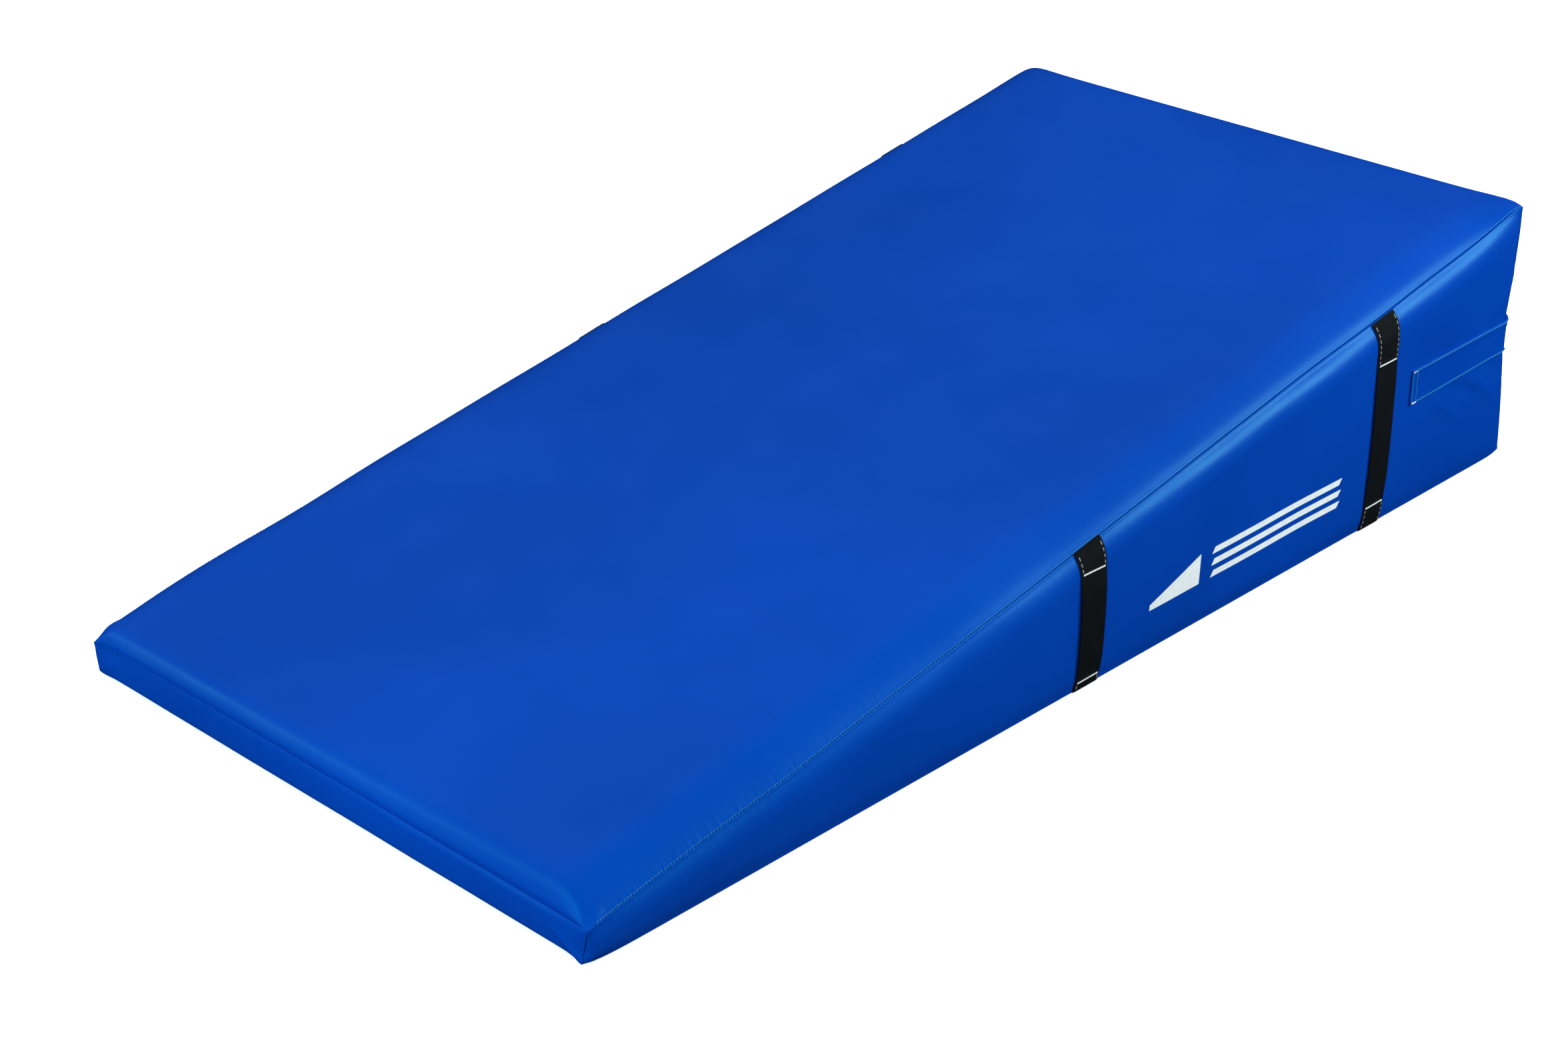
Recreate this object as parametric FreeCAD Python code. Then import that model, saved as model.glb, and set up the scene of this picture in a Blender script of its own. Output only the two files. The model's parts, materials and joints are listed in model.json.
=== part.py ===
import FreeCAD, Part
import math
import os

# Incline wedge mat: a foam wedge in a sewn vinyl cover, with a zip under a flap across the
# rear and four flat webbing carrying handles.
# Frame: origin on the floor under the middle of the mat, +X to its right side,
# +Y from the low front edge to the high rear face, +Z up. Millimetres and degrees.

# ---- driving dimensions ----
MAT_WIDTH = 914.0
MAT_LENGTH = 1829.0
REAR_HEIGHT = 400.0
FRONT_HEIGHT = 72.0  # where the sloping top would meet the front face
FRONT_ROLL_RADIUS = 26.0
FRONT_SEAM_HEIGHT = 48.0
VINYL = 1.5

FOAM_SIDE_GAP = 3.5
FOAM_TOP_GAP = 2.0
FOAM_REAR_GAP = 6.5

WEBBING_WIDTH = 50.0
WEBBING = 2.0
HANDLE_GAP = 2.0  # between a grip lying flat and the cover behind it
HANDLES = {
    # name: (centre along Y, lower stitch line, upper stitch line)
    "front": (-61.0, 18.0, 168.0),
    "rear": (575.0, 40.0, 253.0),
}
SEAM_DROP = 12.0  # the upper tabs start this far below the top edge
GRIP_END_GAP = 0.5
STITCH_BAR_LENGTH = 42.0  # across each tab, next to the grip
STITCH_BAR_WIDTH = 1.8
STITCH_BAR = 0.5
STITCH_BAR_GAP = 1.5  # from the end of the grip

DECAL = 0.3
DECAL_BOTTOM = 66.0
DECAL_WEDGE = (60.0, 165.0, 8.0, 44.0)  # Y from, Y to, height in front, height behind
DECAL_BARS = 3
DECAL_BAR_Y = (190.0, 480.0)
DECAL_BAR_HEIGHT = 9.0
DECAL_BAR_PITCH = 17.5
DECAL_BAR_SLANT = 6.0

ZIP_HEIGHT = 204.0
ZIP_SLOT = 13.0
ZIP_START_Y = 668.0  # on the right side
ZIP_END_X = -446.0  # near the left rear corner
TAPE = 1.0
TAPE_WIDTH = 13.4
COIL = 1.2
COIL_WIDTH = 2.2
CHAIN_GAP = 1.2  # between the two coils, for the slider's neck
STOP_LENGTH = 4.0
STOP_HEIGHT = 6.4

SLIDER_X = -425.0
SLIDER_LENGTH = 12.0
SLIDER_HEIGHT = 11.0
SLIDER_PLATE = 1.0
SLIDER_BACK_HEIGHT = 9.0
SLIDER_BACK_GAP = 0.5  # behind the tape
SLIDER_FLANGE = 2.1
SLIDER_NECK = 0.6
SLIDER_NECK_LENGTH = 3.0
PULL_GAP = 0.3
PULL = 1.0
PULL_LENGTH = 28.0
PULL_RADIUS = 4.0
PULL_BODY_WIDTH = 6.0
PULL_WINDOW_RADIUS = 1.6
PULL_WINDOW_START = 8.0
RIVET_RADIUS = 1.3
RIVET_CLEARANCE = 0.06
RIVET_HEAD_RADIUS = 2.6
RIVET_HEAD = 0.7

FLAP = 1.4
FLAP_STAND_OFF = 3.8  # at the rear, clear of the slider and its pull
FLAP_SIDE_STAND_OFF = 1.2
FLAP_TOP = 219.5
FLAP_BOTTOM = 167.0
FLAP_START_Y = 645.0
FLAP_END_X = -440.0
FLAP_HINGE_HEIGHT = 212.1
HEM_HINGE_GAP = 1.8
FLAP_HINGE_GAP = 0.9
CORNER_GAP = 0.5

# ---- worked out from them ----
SIDE_X = MAT_WIDTH / 2
REAR_Y = MAT_LENGTH / 2
FRONT_Y = -MAT_LENGTH / 2
SLOPE = (REAR_HEIGHT - FRONT_HEIGHT) / MAT_LENGTH
SLOPE_STRETCH = math.sqrt(1 + SLOPE**2)
ROLL_Y = FRONT_Y + FRONT_ROLL_RADIUS
ROLL_Z = FRONT_HEIGHT + SLOPE * FRONT_ROLL_RADIUS - FRONT_ROLL_RADIUS * SLOPE_STRETCH
TAPE_FACE = -VINYL  # depths below the cover's outer face are negative
COIL_FACE = TAPE_FACE + COIL
PLATE_FACE = SLIDER_PLATE
PULL_INNER = PLATE_FACE + PULL_GAP
PULL_OUTER = PULL_INNER + PULL


def box(x, y, z):
    """A block from three (low, high) pairs."""
    corner = FreeCAD.Vector(x[0], y[0], z[0])
    return Part.makeBox(x[1] - x[0], y[1] - y[0], z[1] - z[0], corner)


def rear_box(x, depth, z):
    """A block at the rear, its Y given outwards from the cover's rear face."""
    return box(x, (REAR_Y + depth[0], REAR_Y + depth[1]), z)


def right_box(depth, y, z):
    """A block on the right side, its X given outwards from the cover's right face."""
    return box((SIDE_X + depth[0], SIDE_X + depth[1]), y, z)


def point(y, z):
    return FreeCAD.Vector(0, y, z)


def top_height(y, inset=0.0):
    """Height of the sloping top at y, or of a surface that lies inset below it."""
    return FRONT_HEIGHT + SLOPE * (y - FRONT_Y) - inset * SLOPE_STRETCH


def top_curve(inset, start_z, end_y):
    """Points up the front, round the front roll and up the slope, inset from the outside."""
    radius = FRONT_ROLL_RADIUS - inset
    slope_angle = math.atan(SLOPE)
    roll_end = math.pi / 2 + slope_angle
    roll_middle = (math.pi + roll_end) / 2

    def on_roll(angle):
        return point(ROLL_Y + radius * math.cos(angle), ROLL_Z + radius * math.sin(angle))

    start = point(FRONT_Y + inset, start_z)
    end = point(end_y, top_height(end_y, inset))
    return [start, on_roll(math.pi), on_roll(roll_middle), on_roll(roll_end), end]


def curve_edges(points):
    start, roll_start, roll_middle, roll_end, end = points
    return [
        Part.LineSegment(start, roll_start).toShape(),
        Part.Arc(roll_start, roll_middle, roll_end).toShape(),
        Part.LineSegment(roll_end, end).toShape(),
    ]


def line(a, b):
    return Part.LineSegment(a, b).toShape()


def extrude_x(edges, x_low, x_high):
    """A solid between two X planes from the closed outline of edges at X = 0."""
    face = Part.Face(Part.Wire(Part.__sortEdges__(edges)))
    face.translate(FreeCAD.Vector(x_low, 0, 0))
    return face.extrude(FreeCAD.Vector(x_high - x_low, 0, 0))


def wedge(inset, bottom, rear_y, x_low, x_high):
    """The mat's side outline between two X planes."""
    curve = top_curve(inset, bottom, rear_y)
    rear_bottom = point(rear_y, bottom)
    outline = curve_edges(curve) + [line(curve[-1], rear_bottom), line(rear_bottom, curve[0])]
    return extrude_x(outline, x_low, x_high)


def foam_core():
    half = SIDE_X - FOAM_SIDE_GAP
    return wedge(FOAM_TOP_GAP, FOAM_TOP_GAP, REAR_Y - FOAM_REAR_GAP, -half, half)


def cover_top_panel():
    outer = top_curve(0.0, FRONT_SEAM_HEIGHT, REAR_Y)
    inner = top_curve(VINYL, FRONT_SEAM_HEIGHT, REAR_Y)
    ends = [line(outer[0], inner[0]), line(outer[-1], inner[-1])]
    half = SIDE_X - VINYL
    return extrude_x(curve_edges(outer) + curve_edges(inner) + ends, -half, half)


def cover_bottom_panel():
    return box((-SIDE_X, SIDE_X), (FRONT_Y, REAR_Y), (0, VINYL))


def cover_front_band():
    half = SIDE_X - VINYL
    return box((-half, half), (FRONT_Y, FRONT_Y + VINYL), (VINYL, FRONT_SEAM_HEIGHT))


def slot_heights():
    return ZIP_HEIGHT - ZIP_SLOT / 2, ZIP_HEIGHT + ZIP_SLOT / 2


def cover_side_panel(side):
    inner, outer = SIDE_X - VINYL, SIDE_X
    if side < 0:
        return wedge(0.0, VINYL, REAR_Y, -outer, -inner)
    panel = wedge(0.0, VINYL, REAR_Y, inner, outer)
    slot = right_box((-2 * VINYL, VINYL), (ZIP_START_Y, REAR_Y + VINYL), slot_heights())
    return panel.cut(slot)


def cover_rear_panel(z):
    half = SIDE_X - VINYL
    panel = rear_box((-half, half), (-VINYL, 0), z)
    slot = rear_box((ZIP_END_X, SIDE_X), (-2 * VINYL, VINYL), slot_heights())
    return panel.cut(slot)


def round_the_corner(inner, outer, z, start_y, end_x):
    """A strip along the right side and across the rear, between two depths."""
    rear = rear_box((end_x, SIDE_X + outer), (inner, outer), z)
    side = right_box((inner, outer), (start_y, REAR_Y + outer), z)
    return rear.fuse(side).removeSplitter()


def above_or_below(half, start, width):
    """Heights of a strip that starts off the zip's middle line, above (+1) or below (-1)."""
    near = ZIP_HEIGHT + half * start
    far = ZIP_HEIGHT + half * (start + width)
    return min(near, far), max(near, far)


def zip_tape(half):
    z = above_or_below(half, CHAIN_GAP / 2, TAPE_WIDTH)
    return round_the_corner(TAPE_FACE - TAPE, TAPE_FACE, z, ZIP_START_Y - 4, ZIP_END_X - 2)


def zip_coil(half):
    z = above_or_below(half, CHAIN_GAP / 2, COIL_WIDTH)
    start_y = ZIP_START_Y + 3.5 + STOP_LENGTH
    end_x = SLIDER_X - SLIDER_LENGTH / 2 - 1.5
    return round_the_corner(TAPE_FACE, COIL_FACE, z, start_y, end_x)


def zip_end_stops():
    z = ZIP_HEIGHT - STOP_HEIGHT / 2, ZIP_HEIGHT + STOP_HEIGHT / 2
    depth = TAPE_FACE, COIL_FACE + 0.5
    open_end = right_box(depth, (ZIP_START_Y + 3, ZIP_START_Y + 3 + STOP_LENGTH), z)
    stop_x = SLIDER_X - SLIDER_LENGTH / 2 - 2
    closed_end = rear_box((stop_x - STOP_LENGTH, stop_x), depth, z)
    return Part.makeCompound([open_end, closed_end])


def zip_slider():
    """Two plates joined by a neck that runs between the coils."""
    x = SLIDER_X - SLIDER_LENGTH / 2, SLIDER_X + SLIDER_LENGTH / 2
    back_face = TAPE_FACE - TAPE - SLIDER_BACK_GAP
    half = SLIDER_HEIGHT / 2
    back_half = SLIDER_BACK_HEIGHT / 2
    front = rear_box(x, (0, PLATE_FACE), (ZIP_HEIGHT - half, ZIP_HEIGHT + half))
    back = rear_box(
        x, (back_face - SLIDER_PLATE, back_face), (ZIP_HEIGHT - back_half, ZIP_HEIGHT + back_half)
    )
    neck_x = x[0] + 1, x[0] + 1 + SLIDER_NECK_LENGTH
    neck_z = ZIP_HEIGHT - SLIDER_NECK / 2, ZIP_HEIGHT + SLIDER_NECK / 2
    body = front.fuse(back).fuse(rear_box(neck_x, (back_face, 0), neck_z))
    for half_sign in (-1, 1):
        flange_z = above_or_below(half_sign, half - SLIDER_FLANGE, SLIDER_FLANGE)
        body = body.fuse(rear_box(x, (-1.0, 0), flange_z))
    body = body.removeSplitter()
    corners = [e for e in body.Edges if is_slider_corner(e)]
    return body.makeFillet(1.5, corners)


def is_slider_corner(edge):
    """The four edges along Y at the corners of the slider's front plate."""
    box_of = edge.BoundBox
    along_y = box_of.YLength > 0.9 and box_of.XLength < 0.01 and box_of.ZLength < 0.01
    at_side = abs(abs(box_of.Center.z - ZIP_HEIGHT) - SLIDER_HEIGHT / 2) < 0.01
    return along_y and at_side


def cylinder_y(x, z, radius, depth):
    """A cylinder along Y at the rear, its depths given outwards from the rear face."""
    base = FreeCAD.Vector(x, REAR_Y + depth[0], z)
    return Part.makeCylinder(radius, depth[1] - depth[0], base, FreeCAD.Vector(0, 1, 0))


def zip_pull_rivet():
    head_start = PULL_OUTER + PULL_GAP
    shank = cylinder_y(SLIDER_X, ZIP_HEIGHT, RIVET_RADIUS, (PLATE_FACE, head_start))
    head = cylinder_y(
        SLIDER_X, ZIP_HEIGHT, RIVET_HEAD_RADIUS, (head_start, head_start + RIVET_HEAD)
    )
    return shank.fuse(head).removeSplitter()


def zip_pull():
    """A flat tab that hangs from the rivet by its eye, with a long window in it."""
    depth = PULL_INNER, PULL_OUTER
    end_z = ZIP_HEIGHT - PULL_LENGTH + PULL_RADIUS
    half = PULL_BODY_WIDTH / 2
    tab = cylinder_y(SLIDER_X, ZIP_HEIGHT, PULL_RADIUS, depth)
    tab = tab.fuse(cylinder_y(SLIDER_X, end_z, PULL_RADIUS, depth))
    tab = tab.fuse(rear_box((SLIDER_X - half, SLIDER_X + half), depth, (end_z, ZIP_HEIGHT)))
    through = depth[0] - 1, depth[1] + 1
    window_top = ZIP_HEIGHT - PULL_WINDOW_START
    window_x = SLIDER_X - PULL_WINDOW_RADIUS, SLIDER_X + PULL_WINDOW_RADIUS
    tab = tab.cut(rear_box(window_x, through, (end_z, window_top)))
    for z in (end_z, window_top):
        tab = tab.cut(cylinder_y(SLIDER_X, z, PULL_WINDOW_RADIUS, through))
    eye = cylinder_y(SLIDER_X, ZIP_HEIGHT, RIVET_RADIUS + RIVET_CLEARANCE, through)
    return tab.cut(eye).removeSplitter()


def flap_hem():
    """The folded upper edge of the flap, sewn to the rear above the zip."""
    z = FLAP_HINGE_HEIGHT + HEM_HINGE_GAP, FLAP_TOP
    return rear_box((FLAP_END_X, SIDE_X), (0, FLAP_STAND_OFF + FLAP), z)


def flap():
    """The rear stretch of the flap, which lifts about its upper edge."""
    z = FLAP_BOTTOM, FLAP_HINGE_HEIGHT - FLAP_HINGE_GAP
    depth = FLAP_STAND_OFF, FLAP_STAND_OFF + FLAP
    return rear_box((FLAP_END_X, SIDE_X - CORNER_GAP), depth, z)


def flap_side_return():
    """The end of the flap that is sewn down round the corner, on the right side."""
    outer = FLAP_SIDE_STAND_OFF + FLAP
    hem_z = FLAP_HINGE_HEIGHT + HEM_HINGE_GAP, FLAP_TOP
    hem = right_box((0, outer), (FLAP_START_Y, REAR_Y + FLAP_STAND_OFF + FLAP), hem_z)
    leaf_y = FLAP_START_Y, REAR_Y + FLAP_STAND_OFF - CORNER_GAP
    leaf = right_box((FLAP_SIDE_STAND_OFF, outer), leaf_y, (FLAP_BOTTOM, FLAP_TOP))
    return hem.fuse(leaf).removeSplitter()


def side_sheet(side, depth, corners):
    """A flat piece on one side of the mat, between two depths, from its (Y, Z) corners."""
    points = [point(*corner) for corner in corners]
    outline = [line(a, b) for a, b in zip(points, points[1:] + points[:1])]
    inner = SIDE_X + depth[0]
    outer = SIDE_X + depth[1]
    if side < 0:
        return extrude_x(outline, -outer, -inner)
    return extrude_x(outline, inner, outer)


def webbing(side, depth, y, heights):
    """A flat strip on one side of the mat, square below and cut at a given line above."""
    z_low, z_front, z_rear = heights
    corners = [(y[0], z_low), (y[0], z_front), (y[1], z_rear), (y[1], z_low)]
    return side_sheet(side, depth, corners)


def handle(side, centre_y, lower_line, upper_line):
    """The three stretches of one handle: sewn down, free to grip, sewn down."""
    y = centre_y - WEBBING_WIDTH / 2, centre_y + WEBBING_WIDTH / 2
    sewn = 0, WEBBING
    free = HANDLE_GAP, HANDLE_GAP + WEBBING
    seam = [top_height(edge_y) - SEAM_DROP for edge_y in y]
    grip_z = lower_line + GRIP_END_GAP, upper_line - GRIP_END_GAP
    return {
        "lower_tab": webbing(side, sewn, y, (VINYL, lower_line, lower_line)),
        "grip": webbing(side, free, y, (grip_z[0], grip_z[1], grip_z[1])),
        "upper_tab": webbing(side, sewn, y, (upper_line, seam[0], seam[1])),
    }


def handle_stitching():
    """Bars of stitching across the tabs at both ends of each grip."""
    bars = []
    for side in (1, -1):
        for centre_y, lower_line, upper_line in HANDLES.values():
            y = centre_y - STITCH_BAR_LENGTH / 2, centre_y + STITCH_BAR_LENGTH / 2
            lower_z = lower_line - STITCH_BAR_GAP - STITCH_BAR_WIDTH
            for z in (lower_z, upper_line + STITCH_BAR_GAP):
                top_z = z + STITCH_BAR_WIDTH
                depth = WEBBING, WEBBING + STITCH_BAR
                bars.append(webbing(side, depth, y, (z, top_z, top_z)))
    return Part.makeCompound(bars)


def side_decal():
    """A plain printed mark: a wedge and a few slanted bars."""
    start, end, front_height, rear_height = DECAL_WEDGE
    shapes = [
        [
            (start, DECAL_BOTTOM),
            (start, DECAL_BOTTOM + front_height),
            (end, DECAL_BOTTOM + rear_height),
            (end, DECAL_BOTTOM),
        ]
    ]
    for bar in range(DECAL_BARS):
        low = DECAL_BOTTOM + bar * DECAL_BAR_PITCH
        high = low + DECAL_BAR_HEIGHT
        near, far = DECAL_BAR_Y
        slant = DECAL_BAR_SLANT
        shapes.append([(near, low), (near + slant, high), (far + slant, high), (far, low)])
    return Part.makeCompound([side_sheet(1, (0, DECAL), corners) for corners in shapes])


def all_parts():
    rear_top = top_height(REAR_Y - VINYL, VINYL) - 0.2
    parts = {
        "foam_core": foam_core(),
        "cover_top_panel": cover_top_panel(),
        "cover_bottom_panel": cover_bottom_panel(),
        "cover_front_band": cover_front_band(),
        "cover_side_panel_right": cover_side_panel(1),
        "cover_side_panel_left": cover_side_panel(-1),
        "cover_rear_panel_upper": cover_rear_panel((ZIP_HEIGHT, rear_top)),
        "cover_rear_panel_lower": cover_rear_panel((VINYL, ZIP_HEIGHT)),
        "zip_tape_upper": zip_tape(1),
        "zip_tape_lower": zip_tape(-1),
        "zip_coil_upper": zip_coil(1),
        "zip_coil_lower": zip_coil(-1),
        "zip_end_stops": zip_end_stops(),
        "zip_slider": zip_slider(),
        "zip_pull_rivet": zip_pull_rivet(),
        "zip_pull": zip_pull(),
        "flap_hem": flap_hem(),
        "flap_side_return": flap_side_return(),
        "flap": flap(),
        "handle_stitching": handle_stitching(),
        "side_decal": side_decal(),
    }
    for side_name, side in (("right", 1), ("left", -1)):
        for place, sizes in HANDLES.items():
            for stretch, shape in handle(side, *sizes).items():
                parts[f"handle_{side_name}_{place}_{stretch}"] = shape
    return parts


def main():
    os.makedirs("parts", exist_ok=True)
    for name, shape in all_parts().items():
        if not shape.isValid():
            raise ValueError(f"{name} is not a valid shape")
        shape.exportStep(f"parts/{name}.step")


main()
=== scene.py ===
import json
import math

import bmesh
import bpy
import numpy as np
from mathutils import Matrix, Vector


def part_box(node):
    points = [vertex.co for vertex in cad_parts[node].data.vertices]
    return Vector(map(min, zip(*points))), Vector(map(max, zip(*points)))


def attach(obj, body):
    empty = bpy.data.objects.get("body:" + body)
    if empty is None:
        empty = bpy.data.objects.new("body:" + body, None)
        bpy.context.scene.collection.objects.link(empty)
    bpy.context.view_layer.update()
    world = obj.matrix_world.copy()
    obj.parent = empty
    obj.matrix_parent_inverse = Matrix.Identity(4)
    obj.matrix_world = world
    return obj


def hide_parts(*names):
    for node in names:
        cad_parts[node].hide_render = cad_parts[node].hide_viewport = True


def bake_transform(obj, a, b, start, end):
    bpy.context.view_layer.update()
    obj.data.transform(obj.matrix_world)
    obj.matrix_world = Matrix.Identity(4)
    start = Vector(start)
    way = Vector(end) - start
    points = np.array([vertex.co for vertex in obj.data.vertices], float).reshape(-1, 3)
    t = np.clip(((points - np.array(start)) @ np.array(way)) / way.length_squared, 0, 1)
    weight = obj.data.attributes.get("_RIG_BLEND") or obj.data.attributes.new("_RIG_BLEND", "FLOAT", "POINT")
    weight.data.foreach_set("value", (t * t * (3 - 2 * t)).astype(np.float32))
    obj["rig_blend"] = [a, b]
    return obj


# Incline wedge mat. Every panel of the cover is a grid of points between its seams, pushed out
# to the mat's face and rolled off towards each seam. Metres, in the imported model's frame.

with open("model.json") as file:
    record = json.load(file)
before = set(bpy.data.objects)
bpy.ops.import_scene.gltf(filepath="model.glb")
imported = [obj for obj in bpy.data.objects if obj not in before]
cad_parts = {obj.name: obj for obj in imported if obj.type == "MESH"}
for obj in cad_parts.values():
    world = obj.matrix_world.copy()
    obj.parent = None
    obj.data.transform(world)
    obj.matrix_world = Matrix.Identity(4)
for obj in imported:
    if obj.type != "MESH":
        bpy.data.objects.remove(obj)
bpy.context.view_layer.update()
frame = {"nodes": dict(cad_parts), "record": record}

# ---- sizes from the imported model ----
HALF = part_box("cover_side_panel_right")[1].x
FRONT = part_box("cover_bottom_panel")[0].y
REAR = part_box("cover_bottom_panel")[1].y
REAR_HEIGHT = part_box("cover_top_panel")[1].z
FRONT_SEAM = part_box("cover_front_band")[1].z + 0.002
TAPE_EDGE = 0.0059  # how far each tape stands into the zip's slot
SLOT_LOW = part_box("zip_tape_lower")[1].z - TAPE_EDGE
SLOT_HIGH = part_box("zip_tape_upper")[0].z + TAPE_EDGE
SLOT_START_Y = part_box("zip_tape_upper")[0].y + 0.004
SLOT_END_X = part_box("zip_tape_upper")[0].x + 0.002
ZIP_Z = (SLOT_LOW + SLOT_HIGH) / 2
FLAP_LOW, FLAP_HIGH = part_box("flap_side_return")[0].z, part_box("flap_side_return")[1].z
FLAP_START_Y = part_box("flap_side_return")[0].y
FLAP_END_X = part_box("flap")[0].x
FLAP_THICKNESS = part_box("flap")[1].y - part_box("flap")[0].y
REAR_STAND_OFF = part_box("flap")[0].y - REAR
JOINTS = {joint["name"]: joint for joint in frame["record"]["behaviour"]["joints"]}
HINGE_Z = JOINTS["flap_lift"]["pos_m"][2]

# ---- sizes of the soft shape ----
CROWN = 0.004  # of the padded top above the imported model's
FRONT_HEIGHT = 0.072 + CROWN  # where the sloping top would meet the front face
SLOPE = (REAR_HEIGHT + CROWN - FRONT_HEIGHT) / (REAR - FRONT)
# The long top seams by side, near the front and near the rear: how far they lie inside the face,
# and how far below the sloping top.
SEAM_INSET = {1: (0.0095, 0.0175), -1: (0.004, 0.004)}
SEAM_DROP = {1: (0.0317, 0.0272), -1: (0.009, 0.011)}
SEAM_START = 0.002  # of the same seams, inside the front and the side faces
CORNER_HEIGHT = {1: 0.0485, -1: 0.0520}  # of the front corners of the same seams
CORNER_EAR = {1: 0.0, -1: 0.004}  # how far the same corners stand out
FRONT_DIP = {1: 0.0, -1: 0.004}  # how far the same corners hang
REAR_DROP = {1: 0.004, -1: 0.010}  # of the same seams towards the rear
REAR_DIP = 0.010  # of the rear top corners, which are rounded
REAR_INSET = 0.0078  # of the upright rear seams at the zip
FOOT_INSET = 0.0030  # of the bottom seams along the sides
FOOT_HEIGHT = 0.0028  # of the bottom seams
FOOT_RISE = 0.0072  # of their rear corners above that
# The bottom corners by side and end: inside the face in X and Y, and height.
FOOT_CORNERS = {
    (1, 0): (0.0120, 0.0005, 0.0015),
    (-1, 0): (0.0010, 0.0005, 0.0075),
    (1, 1): (0.0004, 0.0004, 0.0100),
    (-1, 1): (0.0004, 0.0004, 0.0100),
}
VINYL = 0.0010
SHARP_ANGLE = 52  # degrees between faces whose edge isn't shaded as smooth
CORNER_RADIUS = 0.033  # of the rear corner at the zip's height
SIDE_STAND_OFF = 0.0006
UPRIGHT_LENGTH = 0.35  # of the upright grids' spacing

# ---- a seam, across it and along it ----
GROOVE = 0.0018
GROOVE_WIDTH = 0.00055
RIDGE = 0.00028
TALL_RIDGE = 0.00055  # along the top of the sides
RIDGE_PLACE = 0.0017
RIDGE_WIDTH = 0.0009
PUCKER_PLACE = 0.0024
PUCKER_PITCH = 0.0078
SEAM_END = 0.012  # where two seams meet, both fade out over this length
SKEW = 0.7  # a seam between two faces is drawn in along both


# ---- grids and curves ----
def steps(length, first, largest, growth=1.28):
    """Places from 0 to 1, close together at both ends."""
    places = [0.0]
    step = first
    while places[-1] + step < length / 2:
        places.append(places[-1] + step)
        step = min(step * growth, largest)
    half = np.array(places) / length
    if 0.5 - half[-1] < 0.3 * largest / length:
        half = half[:-1]
    return np.concatenate([half, [0.5], 1 - half[::-1]])


ALONG = steps(REAR - FRONT, 0.0008, 0.0025)
ACROSS = steps(2 * HALF, 0.00045, 0.030, 1.24)
UPRIGHT = steps(UPRIGHT_LENGTH, 0.0004, 0.008)


def near(distance, reach):
    """1 at a place, falling away to 0 over reach."""
    return np.exp(-((distance / reach) ** 2))


def fading(distance, reach):
    """1 at a place, falling away ever more slowly."""
    return np.exp(-distance / reach)


def past(place, middle, reach):
    """0 before a place and 1 after it, with a soft change."""
    return 0.5 + 0.5 * np.tanh((place - middle) / reach)


def smooth(part):
    """0 to 1 without corners at the ends."""
    return part * part * (3 - 2 * part)


def roll(distance, reach, power=2.4):
    """The rounded shoulder of a padded edge: 0 at the seam, 1 from reach inwards."""
    return 1 - np.clip(1 - distance / reach, 0, 1) ** power


def ripple(place, pitch, seed):
    """Uneven waves of about one pitch, between -1 and 1."""
    phases = np.random.default_rng(seed).uniform(0, 2 * math.pi, 4)
    waves = [
        np.sin(2 * math.pi * place / (pitch * factor) + phase)
        for factor, phase in zip((0.71, 1.0, 1.37, 2.1), phases)
    ]
    return sum(waves) / 2.6


def top_plane(y):
    return FRONT_HEIGHT + SLOPE * (y - FRONT)


# ---- seams ----
def long_seam(side):
    """The top seam of a long side, from the front corner to the rear one."""
    y = FRONT + SEAM_START + (REAR - FRONT - SEAM_START) * ALONG
    from_front, from_rear = y - FRONT - SEAM_START, REAR - y
    front, rear = fading(from_front, 0.055), fading(from_rear, 0.075)
    free = (1 - front) * (1 - rear)
    share = past(y, -0.05, 0.28)
    inset, drop = (
        ends[side][0] + (ends[side][1] - ends[side][0]) * share for ends in (SEAM_INSET, SEAM_DROP)
    )
    x = HALF - SEAM_START - (inset - SEAM_START) * free - 0.0035 * rear
    x = x + 0.0009 * ripple(y, 0.4, 11 + side) * free
    drop = drop * free + (FRONT_HEIGHT - CORNER_HEIGHT[side]) * front + REAR_DROP[side] * rear
    drop = drop + REAR_DIP * fading(from_rear, 0.011) + FRONT_DIP[side] * fading(from_front, 0.015)
    z = top_plane(y) - drop + 0.0008 * ripple(y, 0.33, 21 + side) * free
    ear = CORNER_EAR[side] * fading(from_front, 0.02)
    return np.stack([side * (x + ear), y - ear - 0.0065 * rear, z], 1)


def between(start, end, places, inward, reach):
    """A seam from start to end that is set inward except at its ends."""
    length = np.linalg.norm(end - start)
    held = (1 - near(places * length, reach)) * (1 - near((1 - places) * length, reach))
    return start + (end - start) * places[:, None] + held[:, None] * np.array(inward)


LONG_SEAM = {side: long_seam(side) for side in (1, -1)}


def at_sides(line, reach):
    """1 where a seam across the mat meets each side, fading inwards."""
    return {side: fading(np.abs(line[:, 0] - side * HALF), reach) for side in (1, -1)}


def foot_corner(side, end):
    x, y, z = FOOT_CORNERS[side, end]
    return np.array([side * (HALF - x), REAR - y if end else FRONT + y, z])


FRONT_TOP_SEAM = between(LONG_SEAM[-1][0], LONG_SEAM[1][0], ACROSS, (0, 0.002, 0.0), 0.05)
FRONT_TOP_SEAM[:, 2] += FRONT_DIP[-1] * (1 - ACROSS - fading(ACROSS * 2 * HALF, 0.015))
FRONT_TOP_SEAM[:, 2] += 0.0006 * ripple(FRONT_TOP_SEAM[:, 0], 0.3, 5) * np.sin(math.pi * ACROSS)
REAR_TOP_SEAM = between(LONG_SEAM[-1][-1], LONG_SEAM[1][-1], ACROSS, (0, -0.001, -0.0036), 0.06)
REAR_TOP_SEAM[:, 2] += REAR_DIP * (1 - sum(at_sides(REAR_TOP_SEAM, 0.013).values()))
FRONT_FOOT_SEAM = between(foot_corner(-1, 0), foot_corner(1, 0), ACROSS, (0, 0.005, 0), 0.02)
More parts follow.
